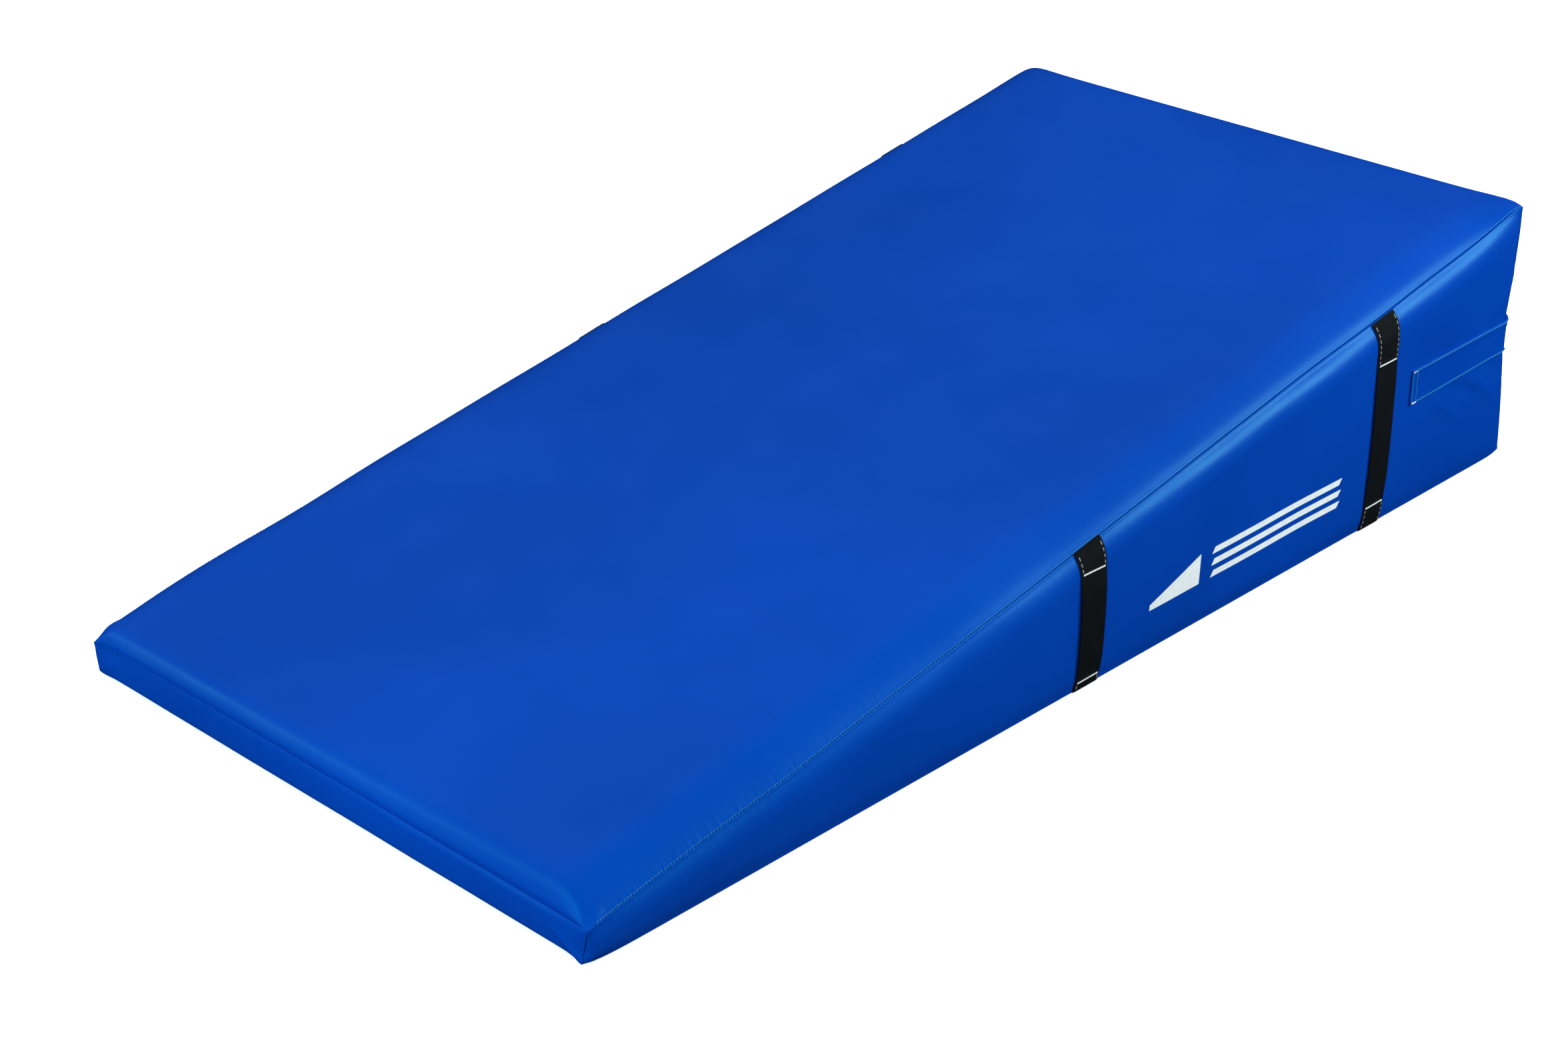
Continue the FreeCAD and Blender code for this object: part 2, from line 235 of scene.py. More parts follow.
FRONT_FOOT_SEAM[:, 2] = FOOT_HEIGHT + sum(
    (foot_corner(side, 0)[2] - FOOT_HEIGHT) * fade
    for side, fade in at_sides(FRONT_FOOT_SEAM, 0.010).items()
)
REAR_FOOT_SEAM = between(foot_corner(-1, 1), foot_corner(1, 1), ACROSS, (0, -0.0035, 0), 0.02)
REAR_FOOT_SEAM[:, 2] = FOOT_HEIGHT + FOOT_RISE * sum(at_sides(REAR_FOOT_SEAM, 0.009).values())


def foot_seam(side):
    start, end = foot_corner(side, 0), foot_corner(side, 1)
    y = start[1] + (end[1] - start[1]) * ALONG
    at_front, at_rear = fading(y - start[1], 0.020), fading(end[1] - y, 0.009)
    line = np.stack([0 * y + side * (HALF - FOOT_INSET), y, 0 * y + FOOT_HEIGHT], 1)
    seam = line + (start - line) * at_front[:, None] + (end - line) * at_rear[:, None]
    seam[:, 1] = y
    return seam


def upright_seam(side, at_rear):
    foot = foot_corner(side, 1 if at_rear else 0)
    top = LONG_SEAM[side][-1 if at_rear else 0]
    if at_rear:
        seam = foot + (top - foot) * UPRIGHT[:, None]
        z = seam[:, 2]
        from_zip = np.where(z > ZIP_Z, (z - ZIP_Z) / (top[2] - ZIP_Z), 1 - z / ZIP_Z)
        pull = REAR_INSET * (1 - np.clip(from_zip, 0, 1)) ** 1.7
        return seam - pull[:, None] * np.array([side, 1, 0])
    inward = 0.001 if side > 0 else -0.0006
    return between(foot, top, UPRIGHT, (-inward * side, inward, 0), 0.010)


# ---- panels ----
# A grid's edges: its first and last row, and the first and last place in each row.
START, END, LOW, HIGH = range(4)
# How far a panel's rounded shoulder reaches from each edge, and its power.
TOP_ROLLS = (0.040, 2.4), (0.064, 1.95), (0.026, 3.0), (0.034, 2.4)
FRONT_ROLLS = (0.014, 2.4), (0.014, 2.4), (0.012, 3.0), (0.010, 3.0)
REAR_ROLLS = (0.030, 2.6), (0.030, 2.6), (0.036, 3.0), (0.034, 2.4)
BOTTOM_ROLLS = ((0.02, 2.4),) * 4
CORNER_CREASES = {
    # side: (angle from the front seam, length, height) of each fold from a low top corner
    1: ((0.40, 0.036, 0.0009), (0.80, 0.042, -0.0008), (1.15, 0.034, 0.0008)),
    -1: (
        (0.28, 0.044, 0.0015),
        (0.58, 0.050, -0.0013),
        (0.88, 0.044, 0.0015),
        (1.2, 0.036, -0.0010),
    ),
}
SIDE_CREASES = (
    # start Y and Z, end Y and Z, height: slack below the end of the flap
    (0.700, 0.160, 0.790, 0.098, 0.0012),
    (0.735, 0.170, 0.840, 0.122, -0.0016),
    (0.790, 0.172, 0.880, 0.105, 0.0016),
    (0.825, 0.172, 0.900, 0.140, -0.0010),
    (0.850, 0.235, 0.905, 0.300, 0.0010),
)


def coons(low_v, high_v, low_u, high_u, u, v):
    """A grid that fills four seams."""
    u, v = u[:, None, None], v[None, :, None]
    across = (1 - v) * low_v[:, None] + v * high_v[:, None]
    up = (1 - u) * low_u[None] + u * high_u[None]
    corners = (1 - v) * ((1 - u) * low_v[0] + u * low_v[-1])
    corners = corners + v * ((1 - u) * high_v[0] + u * high_v[-1])
    return across + up - corners


def edge_distances(grid):
    """How far each point is from the grid's four edges: low u, high u, low v, high v."""
    edges = grid[:1], grid[-1:], grid[:, :1], grid[:, -1:]
    return [np.linalg.norm(grid - edge, axis=2) for edge in edges]


def grid_normals(grid, flip=False):
    normal = np.cross(np.gradient(grid, axis=0), np.gradient(grid, axis=1))
    normal /= np.linalg.norm(normal, axis=2, keepdims=True) + 1e-12
    return -normal if flip else normal


def push_out(grid, edges, amount, way, rolls):
    """Moves a panel out to its face, with a rounded shoulder along each edge."""
    shoulder = 1.0
    for distance, (reach, power) in zip(edges, rolls):
        shoulder = shoulder * roll(distance, reach, power)
    return grid + (amount * shoulder)[..., None] * np.array(way)


def sew(grid, edges, places, seams, flip=False):
    """The tight groove of each seam, the ridge beside it and the puckers that its thread pulls.

    Each seam says its edge, the way in, a seed and the puckers' height, and may say the ridge's."""
    ends = np.minimum(*edges[2:]), np.minimum(*edges[:2])
    for edge, inward, seed, pucker, *ridge in seams:
        distance, place = edges[edge], places[edge // 2]
        held = 1 - near(ends[edge // 2], SEAM_END)
        groove = GROOVE * near(distance, GROOVE_WIDTH) * held
        grid = grid + groove[..., None] * np.array(inward)
        strength = pucker * (0.55 + 0.45 * ripple(place, 0.5, seed + 1))
        fold = np.clip(distance / PUCKER_PLACE, 0, None) * np.exp(1 - distance / PUCKER_PLACE)
        waves = strength * ripple(place, PUCKER_PITCH, seed) * fold
        ridge_height = ridge[0] if ridge else RIDGE
        raised = ridge_height * near(distance - RIDGE_PLACE, RIDGE_WIDTH) + waves
        grid = grid + grid_normals(grid, flip) * (raised * held)[..., None]
    return grid


def crease(grid, start, end, width, height, axes, flip=False):
    """A short soft fold along a line across two axes, raised, or sunk where height is negative."""
    start, line = np.array(start), np.array(end) - np.array(start)
    flat = grid[..., axes]
    along = ((flat - start) @ line) / (line @ line)
    foot = start + np.clip(along, 0, 1)[..., None] * line
    away = np.linalg.norm(flat - foot, axis=2)
    fade = np.clip(along, 0, 1) * np.clip(1 - along, 0, 1) * 4
    amount = height * near(away, width) * np.sqrt(fade)
    return grid + grid_normals(grid, flip) * amount[..., None]


def top_grid():
    grid = coons(FRONT_TOP_SEAM, REAR_TOP_SEAM, LONG_SEAM[-1], LONG_SEAM[1], ACROSS, ALONG)
    edges = edge_distances(grid)
    x, y = grid[..., 0], grid[..., 1]
    crown = 0.0010 * ripple(x + 0.3 * y, 0.7, 3) * ripple(y, 0.9, 4)
    lift = top_plane(y) + crown - grid[..., 2]
    grid = push_out(grid, edges, lift, (0, 0, 1), TOP_ROLLS)
    pucker = 0.00006 + 0.00064 * (1 - past(y, -0.55, 0.12))
    seams = (
        (START, (SKEW, 0, -SKEW), 31, 0.00022),
        (END, (-SKEW, 0, -SKEW), 32, pucker),
        (LOW, (0, 0.95, -0.3), 33, 0.00030),
        (HIGH, (0, -SKEW, -SKEW), 34, 0.00012),
    )
    grid = sew(grid, edges, (y, x), seams)
    for side, creases in CORNER_CREASES.items():
        corner = LONG_SEAM[side][0][:2]
        for turn, reach, height in creases:
            way = np.array([-side * math.cos(turn), math.sin(turn)])
            grid = crease(grid, corner + 0.004 * way, corner + reach * way, 0.0042, height, [0, 1])
    return grid


def side_grid(side):
    flip = side < 0
    uprights = upright_seam(side, False), upright_seam(side, True)
    grid = coons(foot_seam(side), LONG_SEAM[side], *uprights, ALONG, UPRIGHT)
    edges = edge_distances(grid)
    y, z = grid[..., 1], grid[..., 2]
    height = grid[:, -1:, 2] - grid[:, :1, 2]
    cinched = near(z - ZIP_Z, 0.07) * near(np.clip(REAR - y - 0.25, 0, None), 0.08)
    puff = 0.0035 * np.sin(math.pi * np.clip(z / height, 0, 1)) * (1 - cinched)
    puff = puff + 0.0008 * ripple(y + 0.4 * z, 0.31, 41 + side) * (1 - cinched)
    out = HALF + puff * np.clip(height / 0.2, 0, 1) - np.abs(grid[..., 0])
    rolls = (
        (0.014, 3.0),
        (0.030, 2.6),
        (np.minimum(0.032, 0.4 * height), 3.0),
        (np.minimum(0.040, 0.6 * height), 2.9),
    )
    grid = push_out(grid, edges, out, (side, 0, 0), rolls)
    pucker = 0.00014 + 0.00070 * (1 - past(y, -0.50, 0.14))
    way = -SKEW * side
    seams = (
        (HIGH, (way, 0, -SKEW), 51 + side, pucker, TALL_RIDGE),
        (START, (way, SKEW, 0), 54 + side, 0.0001),
        (END, (way, -SKEW, 0), 57 + side, 0.0003),
        (LOW, (way, 0, 0.1), 60 + side, 0.0002),
    )
    grid = sew(grid, edges, (z, y), seams, flip)
    for start_y, start_z, end_y, end_z, fold in SIDE_CREASES:
        grid = crease(grid, (start_y, start_z), (end_y, end_z), 0.007, fold, [1, 2], flip)
    return grid


def front_grid():
    uprights = upright_seam(-1, False), upright_seam(1, False)
    grid = coons(FRONT_FOOT_SEAM, FRONT_TOP_SEAM, *uprights, ACROSS, UPRIGHT)
    edges = edge_distances(grid)
    x, z = grid[..., 0], grid[..., 2]
    puff = 0.0012 * np.sin(math.pi * np.clip(z / FRONT_SEAM, 0, 1)) + 0.0004 * ripple(x, 0.22, 71)
    out = grid[..., 1] - FRONT + puff
    grid = push_out(grid, edges, out, (0, -1, 0), FRONT_ROLLS)
    seams = (
        (HIGH, (0, 0.95, -0.3), 73, 0.00020),
        (START, (SKEW, SKEW, 0), 74, 0.0001),
        (END, (-SKEW, SKEW, 0), 75, 0.0001),
    )
    grid = sew(grid, edges, (z, x), seams)
    for side, height in ((1, 0.0026), (-1, 0.0010)):
        foot = foot_corner(side, 0)[[0, 2]]
        ends = foot + np.array([side * 0.004, 0.0]), foot + np.array([-side * 0.046, 0.030])
        grid = crease(grid, *ends, 0.0050, height, [0, 2])
    return grid


def rear_grid():
    uprights = upright_seam(-1, True), upright_seam(1, True)
    grid = coons(REAR_FOOT_SEAM, REAR_TOP_SEAM, *uprights, ACROSS, UPRIGHT)
    edges = edge_distances(grid)
    x, z = grid[..., 0], grid[..., 2]
    cinched = near(z - ZIP_Z, 0.06)
    puff = 0.0030 * np.sin(math.pi * np.clip(z / REAR_HEIGHT, 0, 1)) * (1 - cinched)
    puff = puff + 0.0009 * ripple(x + 0.5 * z, 0.29, 81) * (1 - cinched)
    out = REAR + puff - grid[..., 1]
    grid = push_out(grid, edges, out, (0, 1, 0), REAR_ROLLS)
    seams = (
        (HIGH, (0, -SKEW, -SKEW), 83, 0.0003),
        (START, (SKEW, -SKEW, 0), 84, 0.0003),
        (END, (-SKEW, -SKEW, 0), 85, 0.0003),
    )
    return sew(grid, edges, (z, x), seams, True)


def bottom_grid():
    grid = coons(FRONT_FOOT_SEAM, REAR_FOOT_SEAM, foot_seam(-1), foot_seam(1), ACROSS, ALONG)
    drop = grid[..., 2] - 0.0006
    return push_out(grid, edge_distances(grid), drop, (0, 0, -1), BOTTOM_ROLLS)


# ---- meshes ----
def new_mesh(name, vertices, faces):
    mesh = bpy.data.meshes.new(name)
    mesh.from_pydata([tuple(v) for v in vertices], [], [tuple(f) for f in faces])
    mesh.validate()
    mesh.polygons.foreach_set("use_smooth", [True] * len(mesh.polygons))
    piece = bpy.data.objects.new(name, mesh)
    bpy.context.scene.collection.objects.link(piece)
    return piece


def grid_faces(rows, columns, start=0, flip=False):
    index = start + np.arange(rows * columns).reshape(rows, columns)
    corners = index[:-1, :-1], index[1:, :-1], index[1:, 1:], index[:-1, 1:]
    faces = np.stack([c.ravel() for c in corners], 1)
    return faces[:, ::-1] if flip else faces


def rim_faces(rows, columns, inner_start, flip):
    """Faces that close the gap between the edges of two grids of the same size."""
    index = np.arange(rows * columns).reshape(rows, columns)
    loop = np.concatenate([index[:-1, 0], index[-1, :-1], index[:0:-1, -1], index[0, :0:-1]])
    after = np.roll(loop, -1)
    faces = np.stack([loop, loop + inner_start, after + inner_start, after], 1)
    return faces[:, ::-1] if flip else faces


def closed_skin(outer, inner, flip=False):
    """The vertices and faces of a thin piece between two grids."""
    rows, columns = outer.shape[:2]
    count = rows * columns
    faces = [
        grid_faces(rows, columns, 0, flip),
        grid_faces(rows, columns, count, not flip),
        rim_faces(rows, columns, count, flip),
    ]
    return np.concatenate([outer.reshape(-1, 3), inner.reshape(-1, 3)]), np.concatenate(faces)


def panel(name, grid, flip=False):
    return new_mesh(name, *closed_skin(grid, grid - grid_normals(grid, flip) * VINYL, flip))


def cut_away(piece, planes, inside):
    """Cuts a skin along planes, deletes the faces whose middles are inside, closes the cut."""
    mesh = bmesh.new()
    mesh.from_mesh(piece.data)
    side = mesh.verts.layers.float.new("side")
    outer_count = len(mesh.verts) // 2
    for number, vertex in enumerate(mesh.verts):
        vertex[side] = float(number >= outer_count)
    for point, normal in planes:
        geometry = mesh.verts[:] + mesh.edges[:] + mesh.faces[:]
        bmesh.ops.bisect_plane(mesh, geom=geometry, plane_co=point, plane_no=normal, dist=1e-6)
    doomed = [face for face in mesh.faces if inside(face.calc_center_median())]
    bmesh.ops.delete(mesh, geom=doomed, context="FACES")
    border = [edge for edge in mesh.edges if edge.is_boundary]
    along = [edge for edge in border if abs(edge.verts[0][side] - edge.verts[1][side]) < 0.5]
    bmesh.ops.bridge_loops(mesh, edges=along)
    mesh.verts.layers.float.remove(side)
    mesh.to_mesh(piece.data)
    mesh.free()
    piece.data.polygons.foreach_set("use_smooth", [True] * len(piece.data.polygons))


def join(pieces, name):
    """Several (vertices, faces) as one mesh object."""
    vertices, faces, start = [], [], 0
    for points, polygons in pieces:
        vertices.extend(points)
        faces.extend([tuple(i + start for i in polygon) for polygon in polygons])
        start += len(points)
    return new_mesh(name, vertices, faces)


def finish_piece(piece, material, slot, body, *nodes):
    """Gives a piece its material and its body, and hides the imported parts it stands for. A blended piece's
    body comes later.
    """
    piece.data.set_sharp_from_angle(angle=math.radians(SHARP_ANGLE))
    piece.data.materials.clear()
    piece.data.materials.append(material)
    if body:
        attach(piece, body)
    if nodes:
        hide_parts(*nodes)


# ---- materials ----
BLUE = (0.0001, 0.0497, 0.387)
GRAIN = 0.35  # strength of the vinyl's grain


def material_base(name, colour, roughness, specular=0.5):
    material = bpy.data.materials.new(name)
    material.use_nodes = True
    tree = material.node_tree
    shader = tree.nodes["Principled BSDF"]
    shader.inputs["Base Color"].default_value = (*colour, 1)
    shader.inputs["Roughness"].default_value = roughness
    shader.inputs["Specular IOR Level"].default_value = specular
    place = tree.nodes.new("ShaderNodeTexCoord")
    return material, tree, shader, place.outputs["Object"]


def texture(tree, kind, where, scale):
    node = tree.nodes.new(f"ShaderNodeTex{kind}")
    node.inputs["Scale"].default_value = scale
    tree.links.new(where, node.inputs["Vector"])
    return node


def noise(tree, where, scale, detail=3.0):
    node = texture(tree, "Noise", where, scale)
    node.inputs["Detail"].default_value = detail
    return node.outputs["Fac"]


def wave(tree, where, direction, scale, distortion=0.0):
    node = texture(tree, "Wave", where, scale)
    node.bands_direction = direction
    node.inputs["Distortion"].default_value = distortion
    return node.outputs["Fac"]


def ramp(tree, value, low, high, start=0, end=1):
    """Maps low..high to start..end."""
    node = tree.nodes.new("ShaderNodeMapRange")
    for name, limit in zip(("From Min", "From Max", "To Min", "To Max"), (low, high, start, end)):
        node.inputs[name].default_value = limit
    tree.links.new(value, node.inputs["Value"])
    return node.outputs["Result"]


def tint(tree, shader, amount, first, second):
    """Mixes the base colour from two."""
    node = tree.nodes.new("ShaderNodeMix")
    node.data_type = "RGBA"
    node.inputs["A"].default_value = (*first, 1)
    node.inputs["B"].default_value = (*second, 1)
    tree.links.new(amount, node.inputs["Factor"])
    tree.links.new(node.outputs["Result"], shader.inputs["Base Color"])


def bump(tree, shader, *heights):
    """Adds bumps one on another: (height, distance, strength) for each."""
    normal = None
    for height, distance, strength in heights:
        node = tree.nodes.new("ShaderNodeBump")
        node.inputs["Distance"].default_value = distance
        node.inputs["Strength"].default_value = strength
        tree.links.new(height, node.inputs["Height"])
        if normal is not None:
            tree.links.new(normal, node.inputs["Normal"])
        normal = node.outputs["Normal"]
    tree.links.new(normal, shader.inputs["Normal"])


def vinyl_material():
    """Coated fabric: a fine leather grain, and slow changes of tone and gloss."""
    material, tree, shader, where = material_base("vinyl", BLUE, 0.35, 0.25)
    shader.inputs["Specular Tint"].default_value = (0.0, 0.80, 1.0, 1)
    patches = noise(tree, where, 2.2, 4)
    darker, lighter = ([c * share for c in BLUE] for share in (0.90, 1.06))
    tint(tree, shader, ramp(tree, patches, 0.35, 0.65), darker, lighter)
    wear = noise(tree, where, 9.0, 5)
    tree.links.new(ramp(tree, wear, 0.3, 0.7, 0.31, 0.39), shader.inputs["Roughness"])
    cells = texture(tree, "Voronoi", where, 950).outputs["Distance"]
    fine = noise(tree, where, 1600, 2)
    slow = noise(tree, where, 26, 3)
    bump(tree, shader, (slow, 0.0015, 0.10), (cells, 0.00016, GRAIN), (fine, 0.00008, GRAIN))
    return material


def webbing_material():
    """Ribs across the strap and a finer weave along it."""
    material, tree, shader, where = material_base("webbing", (0.0022, 0.003, 0.005), 0.55, 0.09)
    shader.inputs["Sheen Weight"].default_value = 0.01
    shader.inputs["Sheen Roughness"].default_value = 0.4
    ribs = wave(tree, where, "Z", 260, 0.6)
    yarns = wave(tree, where, "Y", 330, 0.8)
    amount = ramp(tree, noise(tree, where, 60, 4), 0.3, 0.7)
    tint(tree, shader, amount, (0.0018, 0.0024, 0.004), (0.0032, 0.004, 0.006))
    bump(tree, shader, (ribs, 0.0005, 0.5), (yarns, 0.0003, 0.35))
    return material


def thread_material(name, colour):
    material, tree, shader, where = material_base(name, colour, 0.5, 0.3)
    shader.inputs["Sheen Weight"].default_value = 0.3
    shader.inputs["Sheen Tint"].default_value = (*(c**0.5 for c in colour), 1)
    fibres = noise(tree, where, 900, 2)
    lighter = [min(c * 1.25 + 0.01, 1) for c in colour]
    tint(tree, shader, fibres, [c * 0.7 for c in colour], lighter)
    bump(tree, shader, (fibres, 0.0002, 0.5))
    return material


def tape_material():
    material, tree, shader, where = material_base("zip_tape", (0.006, 0.022, 0.13), 0.7, 0.3)
    weave = wave(tree, where, "DIAGONAL", 420)
    tint(tree, shader, weave, (0.004, 0.016, 0.10), (0.010, 0.032, 0.17))
    bump(tree, shader, (weave, 0.0003, 0.5))
    return material


def coil_material():
    material, tree, shader, where = material_base("zip_coil", (0.008, 0.03, 0.17), 0.3, 0.5)
    worn = ramp(tree, noise(tree, where, 300, 3), 0.3, 0.7, 0.24, 0.42)
    tree.links.new(worn, shader.inputs["Roughness"])
    bump(tree, shader, (noise(tree, where, 1800, 2), 0.0001, 0.2))
    return material


def metal_material():
    material, tree, shader, where = material_base("zip_metal", (0.035, 0.036, 0.04), 0.4, 0.5)
    shader.inputs["Metallic"].default_value = 1.0
    scuffs = noise(tree, where, 420, 6)
    tint(tree, shader, ramp(tree, scuffs, 0.45, 0.7), (0.03, 0.031, 0.035), (0.22, 0.22, 0.22))
    tree.links.new(ramp(tree, scuffs, 0.3, 0.7, 0.28, 0.5), shader.inputs["Roughness"])
    bump(tree, shader, (scuffs, 0.0001, 0.25))
    return material


def print_material():
    material, tree, shader, where = material_base("print", (0.90, 0.91, 0.92), 0.35, 0.4)
    patches = noise(tree, where, 120, 4)
    amount = ramp(tree, patches, 0.4, 0.62)
    tint(tree, shader, amount, (0.86, 0.88, 0.90), (0.93, 0.94, 0.95))
    bump(tree, shader, (patches, 0.0002, 0.2))
    return material


def foam_material():
    material, tree, shader, where = material_base("foam", (0.62, 0.60, 0.50), 0.95, 0.1)
    pores = texture(tree, "Voronoi", where, 700).outputs["Distance"]
    tint(tree, shader, ramp(tree, pores, 0.1, 0.5), (0.42, 0.40, 0.32), (0.66, 0.64, 0.54))
    bump(tree, shader, (pores, 0.0008, 0.6))
    return material


def floor_material():
    material, tree, shader, where = material_base("floor", (0.90, 0.90, 0.90), 0.6, 0.2)
    mottle = ramp(tree, noise(tree, where, 5, 3), 0.3, 0.7)
    tint(tree, shader, mottle, (0.895, 0.895, 0.895), (0.905, 0.905, 0.905))
    shader.inputs["Emission Color"].default_value = (1, 1, 1, 1)
    shader.inputs["Emission Strength"].default_value = 0.62
    return material


VINYL_SKIN = vinyl_material()
WEBBING = webbing_material()
WHITE_THREAD = thread_material("thread_white", (0.80, 0.79, 0.76))
TAN_THREAD = thread_material("thread_tan", (0.40, 0.33, 0.25))
# A blue much lighter than the vinyl: the thread's own colour plus a painted highlight, for the light caught
# by the flap's hem edges and the ridges beside the long seams.
BLUE_THREAD_AND_PAINTED_HIGHLIGHT = thread_material("thread_blue", (0.001, 0.20, 0.52))
TAPE = tape_material()
COIL = coil_material()
METAL = metal_material()
PRINT = print_material()
FOAM = foam_material()


# ---- cloth ----
CLOTH_STEP = 0.028  # between the points of the simulated cloth
CLOTH_WELD = 0.006  # points of two panels that are nearer than this become one
CLOTH_FRAMES = 22
CLOTH_LIMIT = 0.0035  # the furthest that the simulation may move the cover
CLOTH_HOLD = 0.6  # the foam's grip on the cloth
CLOTH_SETTINGS = {
    "quality": 8,
    "mass": 0.35,
    "tension_stiffness": 15,
    "compression_stiffness": 15,
    "shear_stiffness": 6,
    "bending_stiffness": 0.4,
    "shrink_min": -0.004,
    "use_pressure": True,
    "uniform_pressure_force": 2.6,
    "vertex_group_mass": "held",
}
SPANS = {
    # panel: the spacing and the length of its grid's rows and columns
    "top": ((ACROSS, 2 * HALF), (ALONG, REAR - FRONT)),
    "bottom": ((ACROSS, 2 * HALF), (ALONG, REAR - FRONT)),
    "front": ((ACROSS, 2 * HALF), (UPRIGHT, UPRIGHT_LENGTH)),
    "rear": ((ACROSS, 2 * HALF), (UPRIGHT, UPRIGHT_LENGTH)),
    "right": ((ALONG, REAR - FRONT), (UPRIGHT, UPRIGHT_LENGTH)),
    "left": ((ALONG, REAR - FRONT), (UPRIGHT, UPRIGHT_LENGTH)),
}


def picks(places, length):
    """Every so many rows of a grid, the first and the last among them."""
    count = max(4, round(length / CLOTH_STEP) + 1)
    return np.unique(np.abs(places[:, None] - np.linspace(0, 1, count)).argmin(0))


def spread(places, rows):
    """Smooth weights that carry a coarse grid's movement to all rows of a fine one."""
    gap = np.median(np.diff(places[rows]))
    weights = np.exp(-(((places[:, None] - places[rows]) / gap) ** 2))
    return weights / weights.sum(1, keepdims=True)


def blow_up(grids):
    """Simulates the sewn cover as cloth with air behind it, and moves the panels with it.

    The seams, the bottom and the cloth round the zip are held. The foam fills the rest, so the
    movement is small and is limited."""
    points, held, faces, index_of, coarse = [], [], [], {}, {}
    for name, grid in grids.items():
        rows, columns = (picks(*span) for span in SPANS[name])
        coarse[name] = rows, columns
        index = np.zeros((len(rows), len(columns)), int)
        for i, row in enumerate(rows):
            for j, column in enumerate(columns):
                point = grid[row, column]
                on_edge = i in (0, len(rows) - 1) or j in (0, len(columns) - 1)
                found = None
                if on_edge and points:
                    away = np.linalg.norm(np.array(points) - point, axis=1)
                    found = int(away.argmin()) if away.min() < CLOTH_WELD else None
                if found is None:
                    found = len(points)
                    points.append(point)
                    at_zip = abs(point[2] - ZIP_Z) < 0.045 and (name == "rear" or point[1] > 0.60)
                    held.append(on_edge or name == "bottom" or (at_zip and name != "top"))
                index[i, j] = found
        index_of[name] = index
        for i in range(len(rows) - 1):
            for j in range(len(columns) - 1):
                corners = [index[i, j], index[i + 1, j], index[i + 1, j + 1], index[i, j + 1]]
                corners = [c for k, c in enumerate(corners) if c not in corners[:k]]
                if len(corners) > 2:
                    faces.append([int(c) for c in corners])
    bag = new_mesh("cloth_bag", points, faces)
    mesh = bmesh.new()
    mesh.from_mesh(bag.data)
    bmesh.ops.recalc_face_normals(mesh, faces=mesh.faces[:])
    mesh.to_mesh(bag.data)
    mesh.free()
    group = bag.vertex_groups.new(name="held")
    group.add([i for i, h in enumerate(held) if h], 1.0, "REPLACE")
    group.add([i for i, h in enumerate(held) if not h], CLOTH_HOLD, "REPLACE")
    cloth = bag.modifiers.new("cloth", "CLOTH")
    for setting, value in CLOTH_SETTINGS.items():
        setattr(cloth.settings, setting, value)
    cloth.settings.effector_weights.gravity = 0
    cloth.collision_settings.use_collision = False
    cloth.point_cache.frame_start, cloth.point_cache.frame_end = 1, CLOTH_FRAMES
    scene = bpy.context.scene
    for step in range(1, CLOTH_FRAMES + 1):
        scene.frame_set(step)
    blown = bag.evaluated_get(bpy.context.evaluated_depsgraph_get()).to_mesh()
    after = np.array([v.co[:] for v in blown.vertices])
    scene.frame_set(1)
    bpy.data.objects.remove(bag)
    moved = after - np.array(points)
    size = np.linalg.norm(moved, axis=1, keepdims=True)
    moved *= CLOTH_LIMIT * np.tanh(size / CLOTH_LIMIT) / (size + 1e-9)
    for name in ("top", "front", "rear", "right", "left"):
        across, up = (spread(span[0], kept) for span, kept in zip(SPANS[name], coarse[name]))
        shift = np.einsum("ri,ijk,cj->rck", across, moved[index_of[name]], up)
        free = np.minimum.reduce(edge_distances(grids[name]))
        grids[name] = grids[name] + shift * (1 - near(free, 0.018))[..., None]
    return float(size.max()), float(np.median(size[~np.array(held)]))


# ---- cover ----
GRIDS = {
    "top": top_grid(),
    "bottom": bottom_grid(),
    "front": front_grid(),
    "rear": rear_grid(),
    "right": side_grid(1),
    "left": side_grid(-1),
}
FLIPPED = ("rear", "left", "bottom")  # grids whose rows and columns turn the other way
print("cloth moved", blow_up(GRIDS))


def every(grid, row_step, column_step):
    """Every so many rows and columns of a grid, and the last ones."""
    rows, columns = (
        np.unique(np.append(np.arange(0, count, step), count - 1))
        for count, step in zip(grid.shape[:2], (row_step, column_step))
    )
    return grid[np.ix_(rows, columns)]


def build_cover():
    for name, panel_name, node in (
        ("top", "vinyl_top", "cover_top_panel"),
        ("front", "vinyl_front_band", "cover_front_band"),
        ("left", "vinyl_left_side", "cover_side_panel_left"),
        ("right", "vinyl_right_side", "cover_side_panel_right"),
    ):
        piece = panel(panel_name, GRIDS[name], name in FLIPPED)
        if name == "right":
            cut_away(piece, slot_planes(SLOT_START_Y, 1), in_slot)
        finish_piece(piece, VINYL_SKIN, "cover_vinyl", "mat", node)
    build_rear()
    bottom = panel("vinyl_bottom", every(GRIDS["bottom"], 3, 5), True)
    finish_piece(bottom, VINYL_SKIN, "cover_vinyl", "mat", "cover_bottom_panel")


def slot_planes(end, axis):
    point, normal = [0.0, 0.0, 0.0], [0.0, 0.0, 0.0]
    point[axis], normal[axis] = end, 1.0
    up = (0, 0, 1)
    return [(point, normal), ((0, 0, SLOT_LOW), up), ((0, 0, SLOT_HIGH), up)]


def in_slot(middle):
    at_height = SLOT_LOW < middle.z < SLOT_HIGH
    return at_height and middle.x > SLOT_END_X and middle.y > SLOT_START_Y


def build_rear():
    grid = GRIDS["rear"]
    planes = slot_planes(SLOT_END_X, 0) + [((0, 0, ZIP_Z), (0, 0, 1))]
    for name, node, sign in (
        ("vinyl_rear_upper", "cover_rear_panel_upper", 1),
        ("vinyl_rear_lower", "cover_rear_panel_lower", -1),
    ):
        piece = panel(name, grid, True)
        cut_away(piece, planes, lambda m, s=sign: in_slot(m) or (m.z - ZIP_Z) * s < 0)
        finish_piece(piece, VINYL_SKIN, "cover_vinyl", "mat", node)


